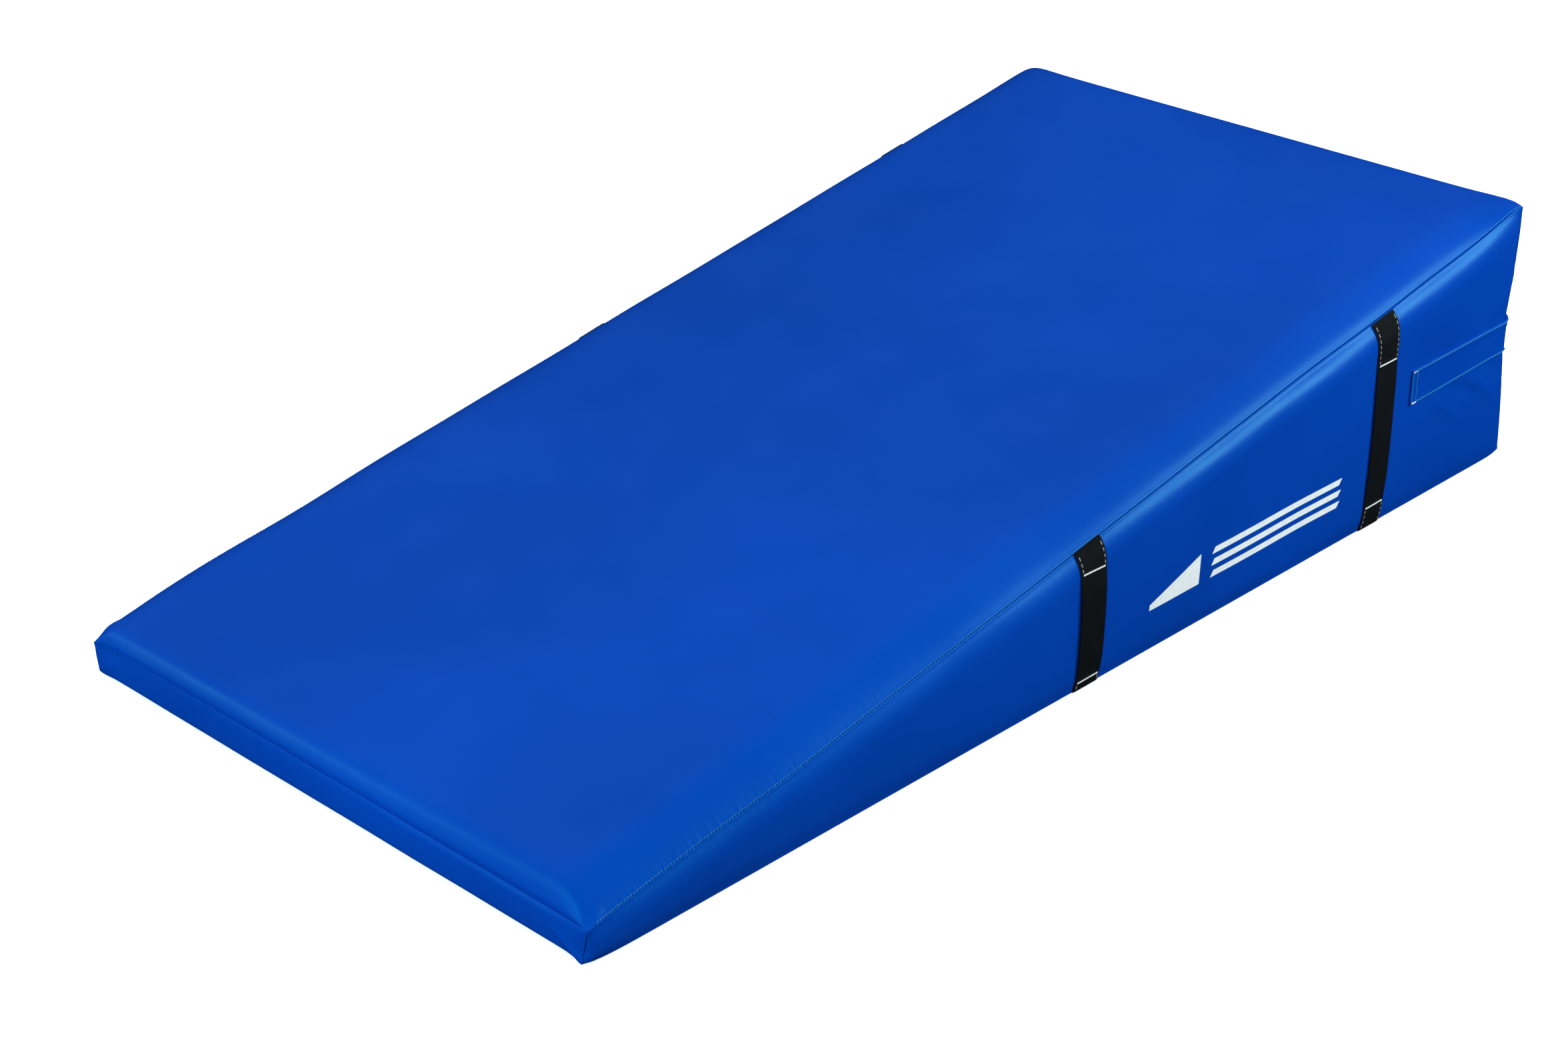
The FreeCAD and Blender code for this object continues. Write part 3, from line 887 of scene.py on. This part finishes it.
def build_foam():
    """The foam wedge, a few millimetres inside the cover all round."""
    parts = []
    for name, row_step, column_step in (
        ("top", 4, 8),
        ("front", 4, 3),
        ("rear", 4, 3),
        ("right", 8, 3),
        ("left", 8, 3),
        ("bottom", 4, 8),
    ):
        points = every(GRIDS[name], row_step, column_step).copy()
        points[..., 0] *= 1 - 0.0075 / HALF
        points[..., 1] *= 1 - 0.0085 / REAR
        heights = top_plane(points[..., 1])
        points[..., 2] = 0.0025 + points[..., 2] * (1 - 0.0065 / heights)
        rows, columns = points.shape[:2]
        faces = grid_faces(rows, columns, 0, name in FLIPPED)
        parts.append((points.reshape(-1, 3), faces.tolist()))
    piece = join(parts, "foam_wedge")
    mesh = bmesh.new()
    mesh.from_mesh(piece.data)
    bmesh.ops.remove_doubles(mesh, verts=mesh.verts[:], dist=0.0004)
    rim = [vertex for vertex in mesh.verts if vertex.is_boundary]
    bmesh.ops.remove_doubles(mesh, verts=rim, dist=0.0016)
    bmesh.ops.recalc_face_normals(mesh, faces=mesh.faces[:])
    mesh.to_mesh(piece.data)
    mesh.free()
    finish_piece(piece, FOAM, "foam", "mat", "foam_core")


# ---- on the side panels ----
WEBBING_HALF = 0.0009  # of its thickness
STITCH_LIFT = 0.0022  # off the cover, on top of the webbing
SEW_GAP = 0.0005  # between a grip and the sewn tab above or below it
BAR_PLACE = 0.0014  # of the white bars, beyond the grip's ends
BAR_THREADS = (-0.0006, 0.0, 0.0006)
THREAD_END = 0.003  # the thread along the webbing stops this short of its ends
THREAD_INSET = 0.0042  # from the webbing's long edges


def on_side(side, y, z):
    """A point on a side panel's outer face, and the way out of it."""
    grid = GRIDS["right" if side > 0 else "left"]
    place = np.interp(y, grid[:, len(UPRIGHT) // 2, 1], np.arange(len(grid)))
    low = min(int(place), len(grid) - 2)
    share = place - low
    column = grid[low] * (1 - share) + grid[low + 1] * share
    step = 0.002
    x = np.interp([z - step, z, z + step], column[:, 2], column[:, 0])
    normal = np.array([1.0, 0, -(x[2] - x[0]) / (2 * step)])
    return np.array([x[1], y, z]), normal * side / np.linalg.norm(normal)


def seam_height(side, y):
    seam = LONG_SEAM[side]
    return float(np.interp(y, seam[:, 1], seam[:, 2]))


def strap_lift(z, low_line, high_line):
    """How far the webbing stands off the cover at a height."""
    if z <= low_line or z >= high_line:
        return 0.0002
    part = (z - low_line) / (high_line - low_line)
    return 0.0002 + 0.0016 * min(1, 6 * part, 6 * (1 - part))


def strap(name, side, centre, width, z_of, lines, rows, columns=15):
    """A length of webbing with rounded edges, laid on a side panel between two heights."""
    outer, inner = np.zeros((2, rows, columns, 3))
    for column, across in enumerate(np.sin(np.linspace(-math.pi / 2, math.pi / 2, columns))):
        y = centre + across * width / 2
        edge = (1 - abs(across) ** 10) ** 0.5
        low, high = z_of(y)
        for row, z in enumerate(np.linspace(low, high, rows)):
            point, normal = on_side(side, y, z)
            lift = strap_lift(z, *lines)
            outer[row, column] = point + normal * (lift + WEBBING_HALF + WEBBING_HALF * edge)
            inner[row, column] = point + normal * (lift + WEBBING_HALF - 0.0008 * edge)
    return new_mesh(name, *closed_skin(outer, inner, side > 0))


def capsule(start, end, radius, sides=6):
    """One stitch: a short thread that dips at both ends."""
    start, end = np.array(start), np.array(end)
    way = (end - start) / np.linalg.norm(end - start)
    guess = np.array([0, 0, 1.0]) if abs(way[2]) < 0.9 else np.array([0, 1.0, 0])
    first = np.cross(way, guess)
    first /= np.linalg.norm(first)
    second = np.cross(way, first)
    angles = np.linspace(0, 2 * math.pi, sides, endpoint=False)
    ring = [math.cos(a) * first + math.sin(a) * second for a in angles]
    points = []
    for part, swell in ((0, 0.45), (0.18, 0.95), (0.5, 1.1), (0.82, 0.95), (1, 0.45)):
        middle = start + (end - start) * part
        points += [middle + r * radius * swell for r in ring]
    faces = []
    for band in range(4):
        for i in range(sides):
            j = (i + 1) % sides
            a = band * sides
            faces.append((a + i, a + j, a + sides + j, a + sides + i))
    faces.append(tuple(range(sides - 1, -1, -1)))
    faces.append(tuple(range(4 * sides, 5 * sides)))
    return points, faces


def stitches_on_side(side, start, end, pitch, share, radius, lift):
    """A row of stitches between two (y, z) places on a side panel."""
    start, end = np.array(start), np.array(end)
    length = np.linalg.norm(end - start)
    count = max(1, round(length / pitch))
    row = []
    for i in range(count):
        ends = [start + (end - start) * (i + s) / count for s in (0.5 - share / 2, 0.5 + share / 2)]
        tips = []
        for y, z in ends:
            point, normal = on_side(side, y, z)
            tips.append(point + normal * lift)
        row.append(capsule(*tips, radius))
    return row


def build_handles():
    names = {1: "right", -1: "left"}
    white, tan = [], []
    for side, side_name in names.items():
        for place in ("front", "rear"):
            stem = f"handle_{side_name}_{place}"
            low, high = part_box(f"{stem}_grip")
            centre, width = (low.y + high.y) / 2, high.y - low.y
            lines = low.z - SEW_GAP, high.z + SEW_GAP
            middle = (lines[0] + lines[1]) / 2
            body = f"grip_{side_name}_{place}"

            def top_of(y, s=side):
                return seam_height(s, y) - SEW_GAP

            spans = {
                "upper_tab": (lambda y, h=lines[1]: (h, top_of(y)), 26),
                "upper_grip": (lambda y, m=middle, h=lines[1]: (m, h), 22),
                "lower_grip": (lambda y, m=middle, l=lines[0]: (l, m), 22),
                "lower_tab": (lambda y, l=lines[0]: (FOOT_HEIGHT + 0.0008, l), 16),
            }
            for span, (z_of, rows) in spans.items():
                name = f"webbing_{side_name}_{place}_{span}"
                piece = strap(name, side, centre, width, z_of, lines, rows)
                if span.endswith("tab"):
                    finish_piece(piece, WEBBING, "webbing", "mat", f"{stem}_{span}")
                    continue
                finish_piece(piece, WEBBING, "webbing", None, f"{stem}_grip")
                end_z = lines[1] if span == "upper_grip" else lines[0]
                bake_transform(piece, "mat", body, start=(0, 0, end_z), end=(0, 0, middle))
            reach = width / 2 - THREAD_INSET
            for z in (lines[0] - BAR_PLACE, lines[1] + BAR_PLACE):
                for part in BAR_THREADS:
                    ends = (centre - reach, z + part), (centre + reach, z + part)
                    white += stitches_on_side(side, *ends, 0.0046, 0.96, 0.0005, STITCH_LIFT)
            for y in (centre - reach, centre + reach):
                up = (y, lines[1] + THREAD_END), (y, top_of(y) - THREAD_END)
                down = (y, FOOT_HEIGHT + THREAD_END), (y, lines[0] - THREAD_END)
                for ends in (up, down):
                    tan += stitches_on_side(side, *ends, 0.0074, 0.62, 0.00062, STITCH_LIFT)
    bars = join(white, "stitching_across_handles")
    finish_piece(bars, WHITE_THREAD, "thread", "mat", "handle_stitching")
    finish_piece(join(tan, "stitching_along_handles"), TAN_THREAD, "thread", "mat")


def build_decal():
    """A plain printed wedge and slanted bars, as thin films that follow the panel."""
    low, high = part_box("side_decal")
    height = high.z - low.z
    bar_height = height * 9 / 44
    pitch = height * 17.5 / 44
    wedge_end, slant = low.y + 0.105, 0.006
    shapes = [((low.y, low.z), (wedge_end, low.z), (wedge_end, high.z), (low.y, low.z + 0.008))]
    for bar in range(3):
        z, top = low.z + bar * pitch, low.z + bar * pitch + bar_height
        near_y, far_y = low.y + 0.130, high.y - slant
        shapes.append(((near_y, z), (far_y, z), (far_y + slant, top), (near_y + slant, top)))
    pieces = []
    for corners in shapes:
        a, b, c, d = (np.array(corner) for corner in corners)
        columns = max(2, int(np.linalg.norm(b - a) / 0.004))
        rows = max(2, int(np.linalg.norm(c - b) / 0.003))
        u, v = np.linspace(0, 1, columns)[:, None, None], np.linspace(0, 1, rows)[None, :, None]
        flat = (1 - v) * ((1 - u) * a + u * b) + v * ((1 - u) * d + u * c)
        outer, inner = np.zeros((2, columns, rows, 3))
        for i in range(columns):
            for j in range(rows):
                point, normal = on_side(1, *flat[i, j])
                outer[i, j] = point + normal * 0.00022
                inner[i, j] = point - normal * 0.00005
        points, faces = closed_skin(outer, inner)
        pieces.append((points, faces.tolist()))
    finish_piece(join(pieces, "printed_mark"), PRINT, "print", "mat", "side_decal")


# ---- zip and flap ----
SIDE_RUN = REAR - CORNER_RADIUS - FLAP_START_Y
TURN_RUN = CORNER_RADIUS * math.pi / 2
FLAP_RUN = SIDE_RUN + TURN_RUN + (HALF - CORNER_RADIUS - FLAP_END_X)
FOOT_CLIMB = 0.0070  # of the flap's lower edge along the side
TOP_CLIMB = 0.0040  # of its upper edge
FLAP_PITCH = 0.0042  # of the stitches on the flap
LOOSE_REACH = 0.010  # how far up the flap its free edge stands off
FOLD = 0.0012  # the hem's lower edge is rounded by this much
ROUND = 0.0010  # and its upper edge by this much
TAPE_INSET = 0.0015
TAPE_STRAIGHT = 0.009  # how far past the corner the slider's end comes
TEETH_PITCH = 0.0024
BEAD_PITCH = 0.0048  # of the thread beside the long seams


def round_corner(run):
    """A place on the line along the right side, round the corner and across the rear."""
    if run < SIDE_RUN:
        return np.array([HALF, FLAP_START_Y + run]), np.array([1.0, 0.0])
    if run < SIDE_RUN + TURN_RUN:
        angle = (run - SIDE_RUN) / CORNER_RADIUS
        normal = np.array([math.cos(angle), math.sin(angle)])
        centre = np.array([HALF - CORNER_RADIUS, REAR - CORNER_RADIUS])
        return centre + CORNER_RADIUS * normal, normal
    x = HALF - CORNER_RADIUS - (run - SIDE_RUN - TURN_RUN)
    return np.array([x, REAR]), np.array([0.0, 1.0])


def run_at_x(x):
    return SIDE_RUN + TURN_RUN + (HALF - CORNER_RADIUS - x)


def run_at_y(y):
    return y - FLAP_START_Y


def stand_off(run):
    """The flap lies close to the side and stands clear of the slider at the rear."""
    part = np.clip((run - SIDE_RUN) / TURN_RUN - 0.35, 0, 0.65) / 0.65
    return SIDE_STAND_OFF + (REAR_STAND_OFF - SIDE_STAND_OFF) * smooth(part)


def rise(run):
    """The flap's edges climb a little from its end to the rear corner."""
    return smooth(min(run / SIDE_RUN, 1))


def flap_foot(run):
    return FLAP_LOW + FOOT_CLIMB * rise(run)


def flap_top(run):
    return FLAP_HIGH + TOP_CLIMB * rise(run)


def on_rear(run):
    """0 on the side and 1 on the rear, from a little past the corner's start."""
    return float(np.clip((run - SIDE_RUN) / 0.06, 0, 1))


def loft(name, runs, outline):
    """Sweeps a closed outline of (offset, height) points along the corner line."""
    rings = []
    for run in runs:
        base, normal = round_corner(run)
        rings.append([(*(base + normal * offset), z) for offset, z in outline(run)])
    rings = np.array(rings)
    count, around = rings.shape[:2]
    faces = []
    for i in range(count - 1):
        for j in range(around):
            k = (j + 1) % around
            a, b = i * around, (i + 1) * around
            faces.append((a + j, b + j, b + k, a + k))
    faces.append(tuple(range(around)))
    faces.append(tuple(range(count * around - 1, (count - 1) * around - 1, -1)))
    return new_mesh(name, rings.reshape(-1, 3), faces)


def strip_outline(inner, outer_of, low, high, rows=14):
    """A flat strip's outline with rounded long edges."""
    heights = low + (high - low) * (0.5 - 0.5 * np.cos(np.linspace(0, math.pi, rows)))
    middle, half = (low + high) / 2, (high - low) / 2
    front, back = [], []
    for z in heights:
        edge = (1 - min(1, abs(z - middle) / half) ** 24) ** 0.5
        outer = outer_of(z)
        centre = (inner + outer) / 2
        front.append((centre + (outer - centre) * edge, z))
        back.append((centre - (centre - inner) * edge, z))
    return front[1:-1] + back[::-1]


def leaf_outline(run):
    """The flap's leaf: a doubled end band, and a free lower edge that lifts a little."""
    start = stand_off(run)
    ripple_here = float(ripple(np.array(run), 0.16, 91))
    band = 0.0005 * (1 - past(run, 0.0145, 0.0008))
    first_lift = 0.0016 * fading(run, 0.012)
    low = flap_foot(run)

    def outer_of(z):
        low_part = fading(z - low, LOOSE_REACH)
        loose = (0.0007 + 0.0005 * ripple_here) * low_part
        return start + FLAP_THICKNESS - 0.0002 + band + loose + first_lift * low_part

    high = FLAP_HIGH - 0.0005 - (FLAP_HIGH - 0.0005 - HINGE_Z) * on_rear(run)
    return strip_outline(start + 0.0001 + 0.3 * first_lift, outer_of, low, high)


def hem_outline(run):
    """The folded hem above the leaf, with a rounded lower edge where the leaf turns."""
    start = stand_off(run)
    outer = start + FLAP_THICKNESS + 0.0006
    low = HINGE_Z - 0.0015 * on_rear(run)
    high = flap_top(run)
    points = [(-0.0003, high - 0.0004), (-0.0003, low + FOLD)]
    half = (outer - start) / 2
    for angle in np.linspace(-math.pi * 0.85, 0, 8):
        place = outer - half + half * math.cos(angle)
        points.append((place, low + FOLD + FOLD * math.sin(angle)))
    for angle in np.linspace(0, math.pi / 2, 5):
        place = outer - ROUND + ROUND * math.cos(angle)
        points.append((place, high - 0.0012 + ROUND * math.sin(angle)))
    return points[::-1]


def runs_between(start, end, step):
    count = max(2, round((end - start) / step) + 1)
    return np.linspace(start, end, count)


def on_flap(run, z, lift):
    base, normal = round_corner(run)
    return (*(base + normal * (stand_off(run) + FLAP_THICKNESS + lift)), z)


def stitches_on_flap(start, end, height_of, lift):
    row = []
    for run in np.arange(start, end - FLAP_PITCH, FLAP_PITCH):
        ends = (run + part * FLAP_PITCH for part in (0.06, 0.94))
        row.append(capsule(*(on_flap(end, height_of(end), lift) for end in ends), 0.00095))
    return row


def build_flap():
    leaf = loft("flap_leaf", runs_between(0, FLAP_RUN, 0.004), leaf_outline)
    finish_piece(leaf, VINYL_SKIN, "cover_vinyl", None, "flap_side_return", "flap")
    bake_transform(leaf, "mat", "flap", start=(HALF, REAR, HINGE_Z), end=(HALF - 0.13, REAR, HINGE_Z))
    hem = loft("flap_hem_fold", runs_between(0.0006, FLAP_RUN, 0.004), hem_outline)
    finish_piece(hem, VINYL_SKIN, "cover_vinyl", "mat", "flap_hem")

    # The flap's blue stitch rows, thick and close together, are also a painted highlight along the hem's
    # edges and the end band.
    top_row = stitches_on_flap(0.004, FLAP_RUN - 0.004, lambda run: flap_top(run) - 0.0022, 0.0008)
    finish_piece(join(top_row, "stitching_flap_hem"), BLUE_THREAD_AND_PAINTED_HIGHLIGHT, "thread", "mat")
    side_row = stitches_on_flap(0.014, SIDE_RUN + 0.02, lambda run: flap_foot(run) + 0.0024, 0.0012)
    for run in (0.0028, 0.0130):
        for z in np.arange(FLAP_LOW + 0.003, FLAP_HIGH - 0.006, FLAP_PITCH):
            lift = 0.0006 + 0.0010 * fading(z - FLAP_LOW, LOOSE_REACH)
            side_row.append(capsule(on_flap(run, z, lift), on_flap(run, z + 0.0039, lift), 0.0008))
    finish_piece(join(side_row, "stitching_flap_side"), BLUE_THREAD_AND_PAINTED_HIGHLIGHT, "thread", "mat")
    # White thread tacks at the end band's corners, which are also a painted highlight for the white glints
    # there.
    tacks_and_glints = []
    for z, lift in ((FLAP_LOW + 0.0024, 0.0022), (FLAP_HIGH - 0.0030, 0.0008)):
        for height in (z - 0.0006, z + 0.0006):
            for run in np.arange(0.0020, 0.0130, 0.0038):
                ends = (on_flap(place, height, lift) for place in (run, run + 0.0036))
                tacks_and_glints.append(capsule(*ends, 0.0005))
    finish_piece(join(tacks_and_glints, "stitching_flap_end"), WHITE_THREAD, "thread", "mat")


def tape_face(run):
    """The tape lies just inside the cover, and stays straight as far as the slider travels."""
    beyond = SIDE_RUN + TURN_RUN - run
    if beyond <= 0:
        return -TAPE_INSET
    bend = min(beyond, TAPE_STRAIGHT) ** 2 / (2 * CORNER_RADIUS)
    return -TAPE_INSET + bend * (1 - smooth(np.clip((beyond - TAPE_STRAIGHT) / 0.016, 0, 1)))


def build_seam_stitches():
    """The thread that shows as a row of beads on both sides of the long seams; its light blue is also a
    painted highlight on the seam ridges.
    """
    rows = []
    for lines, edge, distance in (
        (GRIDS["top"], -1, 0.0019),
        (GRIDS["top"], 0, 0.0019),
        (GRIDS["right"].transpose(1, 0, 2), -1, 0.0022),
        (GRIDS["left"].transpose(1, 0, 2), -1, 0.0022),
    ):
        middle = lines[:, lines.shape[1] // 2]
        away = np.linalg.norm(middle - middle[edge], axis=1)
        line = lines[np.abs(away - distance).argmin()]
        for y in np.arange(FRONT + 0.016, REAR - 0.02, BEAD_PITCH):
            ends = y, y + 0.0036
            tips = ([np.interp(end, line[:, 1], line[:, k]) for k in range(3)] for end in ends)
            rows.append(capsule(*tips, 0.00045))
    finish_piece(join(rows, "stitching_long_seams"), BLUE_THREAD_AND_PAINTED_HIGHLIGHT, "thread", "mat")


def build_zip():
    runs = runs_between(run_at_y(SLOT_START_Y - 0.004), run_at_x(SLOT_END_X - 0.002), 0.006)
    for end, edges in (("upper", (0.0006, 0.014)), ("lower", (-0.014, -0.0006))):
        low, high = (ZIP_Z + edge for edge in edges)

        def outline(run, low=low, high=high):
            return strip_outline(tape_face(run) - 0.001, lambda z: tape_face(run), low, high, 8)

        tape = loft(f"zip_tape_cloth_{end}", runs, outline)
        finish_piece(tape, TAPE, "zip_tape", "mat", f"zip_tape_{end}")
    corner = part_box("zip_coil_upper")[0]
    for end, side, shift in (("upper", 1, 0.0), ("lower", -1, 0.5)):
        teeth = []
        for run in np.arange(run_at_y(corner.y), run_at_x(corner.x) - TEETH_PITCH, TEETH_PITCH):
            base, normal = round_corner(run + shift * TEETH_PITCH)
            place = base + normal * (tape_face(run) + 0.00062)
            tips = ((*place, ZIP_Z + side * z) for z in (-0.0007, 0.0030))
            teeth.append(capsule(*tips, 0.00058))
        teeth = join(teeth, f"zip_coil_teeth_{end}")
        finish_piece(teeth, COIL, "zip_coil", "mat", f"zip_coil_{end}")
    for node in ("zip_slider", "zip_pull_rivet", "zip_pull", "zip_end_stops"):
        part = frame["nodes"][node]
        part.data.materials.clear()
        part.data.materials.append(METAL)


# ---- stage ----
LIGHTS = (
    # name, place, target, size, watts, share of red and green
    ("rear_right", (2.33, 2.24, 1.78), (0.35, 0.1, 0.15), (1.3, 0.9), 66, (0.75, 0.96)),
    ("front", (-0.6, -4.0, 1.6), (0, -0.3, 0.1), (2.4, 1.6), 42, (0.30, 0.90)),
    ("front_low", (0.5, -4.2, 0.9), (0, -0.3, 0.1), (2.4, 1.0), 42, (0.30, 0.90)),
    ("left_front", (-2.7, -3.1, 0.55), (-0.2, -0.8, 0.05), (1.1, 0.36), 13, (0.30, 0.90)),
    ("right", (4.0, 0.3, 1.0), (0.4, 0.0, 0.1), (2.0, 1.2), 20, (0.80, 0.97)),
)
FLOOR_REACH = 9


def build_stage():
    low, high = -FLOOR_REACH, FLOOR_REACH
    corners = [(low, low, 0), (high, low, 0), (high, high, 0), (low, high, 0)]
    floor = new_mesh("floor", corners, [(0, 1, 2, 3)])
    floor.data.materials.append(floor_material())
    world = bpy.data.worlds.new("studio")
    bpy.context.scene.world = world
    world.use_nodes = True
    tree = world.node_tree
    background = tree.nodes["Background"]
    way = tree.nodes.new("ShaderNodeTexCoord").outputs["Generated"]
    split = tree.nodes.new("ShaderNodeSeparateXYZ")
    tree.links.new(way, split.inputs["Vector"])
    sky = ramp(tree, split.outputs["Z"], -0.05, 0.25, 0.13, 0.94)
    tree.links.new(sky, background.inputs["Strength"])
    background.inputs["Color"].default_value = (1.0, 1.0, 1.0, 1)
    world.cycles_visibility.glossy = False
    floor.visible_glossy = False
    floor.visible_diffuse = False
    for name, place, target, size, power, shares in LIGHTS:
        light = bpy.data.lights.new(name, "AREA")
        light.shape = "RECTANGLE"
        light.size, light.size_y = size
        light.energy = power
        light.color = (*shares, 1)
        lamp = bpy.data.objects.new(name, light)
        lamp.location = place
        way = Vector(target) - Vector(place)
        lamp.rotation_euler = way.to_track_quat("-Z", "Y").to_euler()
        bpy.context.scene.collection.objects.link(lamp)
    bpy.context.scene.view_settings.view_transform = "Standard"


CAMERA_AZIMUTH = 43.591
CAMERA_ELEVATION = 26.619
CAMERA_ROLL = 0.494
CAMERA_DISTANCE = 4.009
CAMERA_SHIFT_RIGHT = -0.0941
CAMERA_SHIFT_UP = 0.0468
CAMERA_LENS = 66.89


def build_camera():
    azimuth, elevation, turn = (
        math.radians(a) for a in (CAMERA_AZIMUTH, CAMERA_ELEVATION, CAMERA_ROLL)
    )
    level = math.cos(elevation)
    back = Vector((math.sin(azimuth) * level, -math.cos(azimuth) * level, math.sin(elevation)))
    flat_right = Vector((math.cos(azimuth), math.sin(azimuth), 0))
    flat_up = back.cross(flat_right)
    right = flat_right * math.cos(turn) + flat_up * math.sin(turn)
    up = flat_up * math.cos(turn) - flat_right * math.sin(turn)
    place = back * CAMERA_DISTANCE + right * CAMERA_SHIFT_RIGHT + up * CAMERA_SHIFT_UP
    data = bpy.data.cameras.new("camera")
    data.lens = CAMERA_LENS
    data.sensor_width = 36.0
    data.clip_end = 60
    camera = bpy.data.objects.new("camera", data)
    turned = Matrix((right, up, back)).transposed().to_4x4()
    camera.matrix_world = Matrix.Translation(place) @ turned
    bpy.context.scene.collection.objects.link(camera)
    bpy.context.scene.camera = camera


build_camera()
build_cover()
build_foam()
build_handles()
build_decal()
build_flap()
build_seam_stitches()
build_zip()
build_stage()
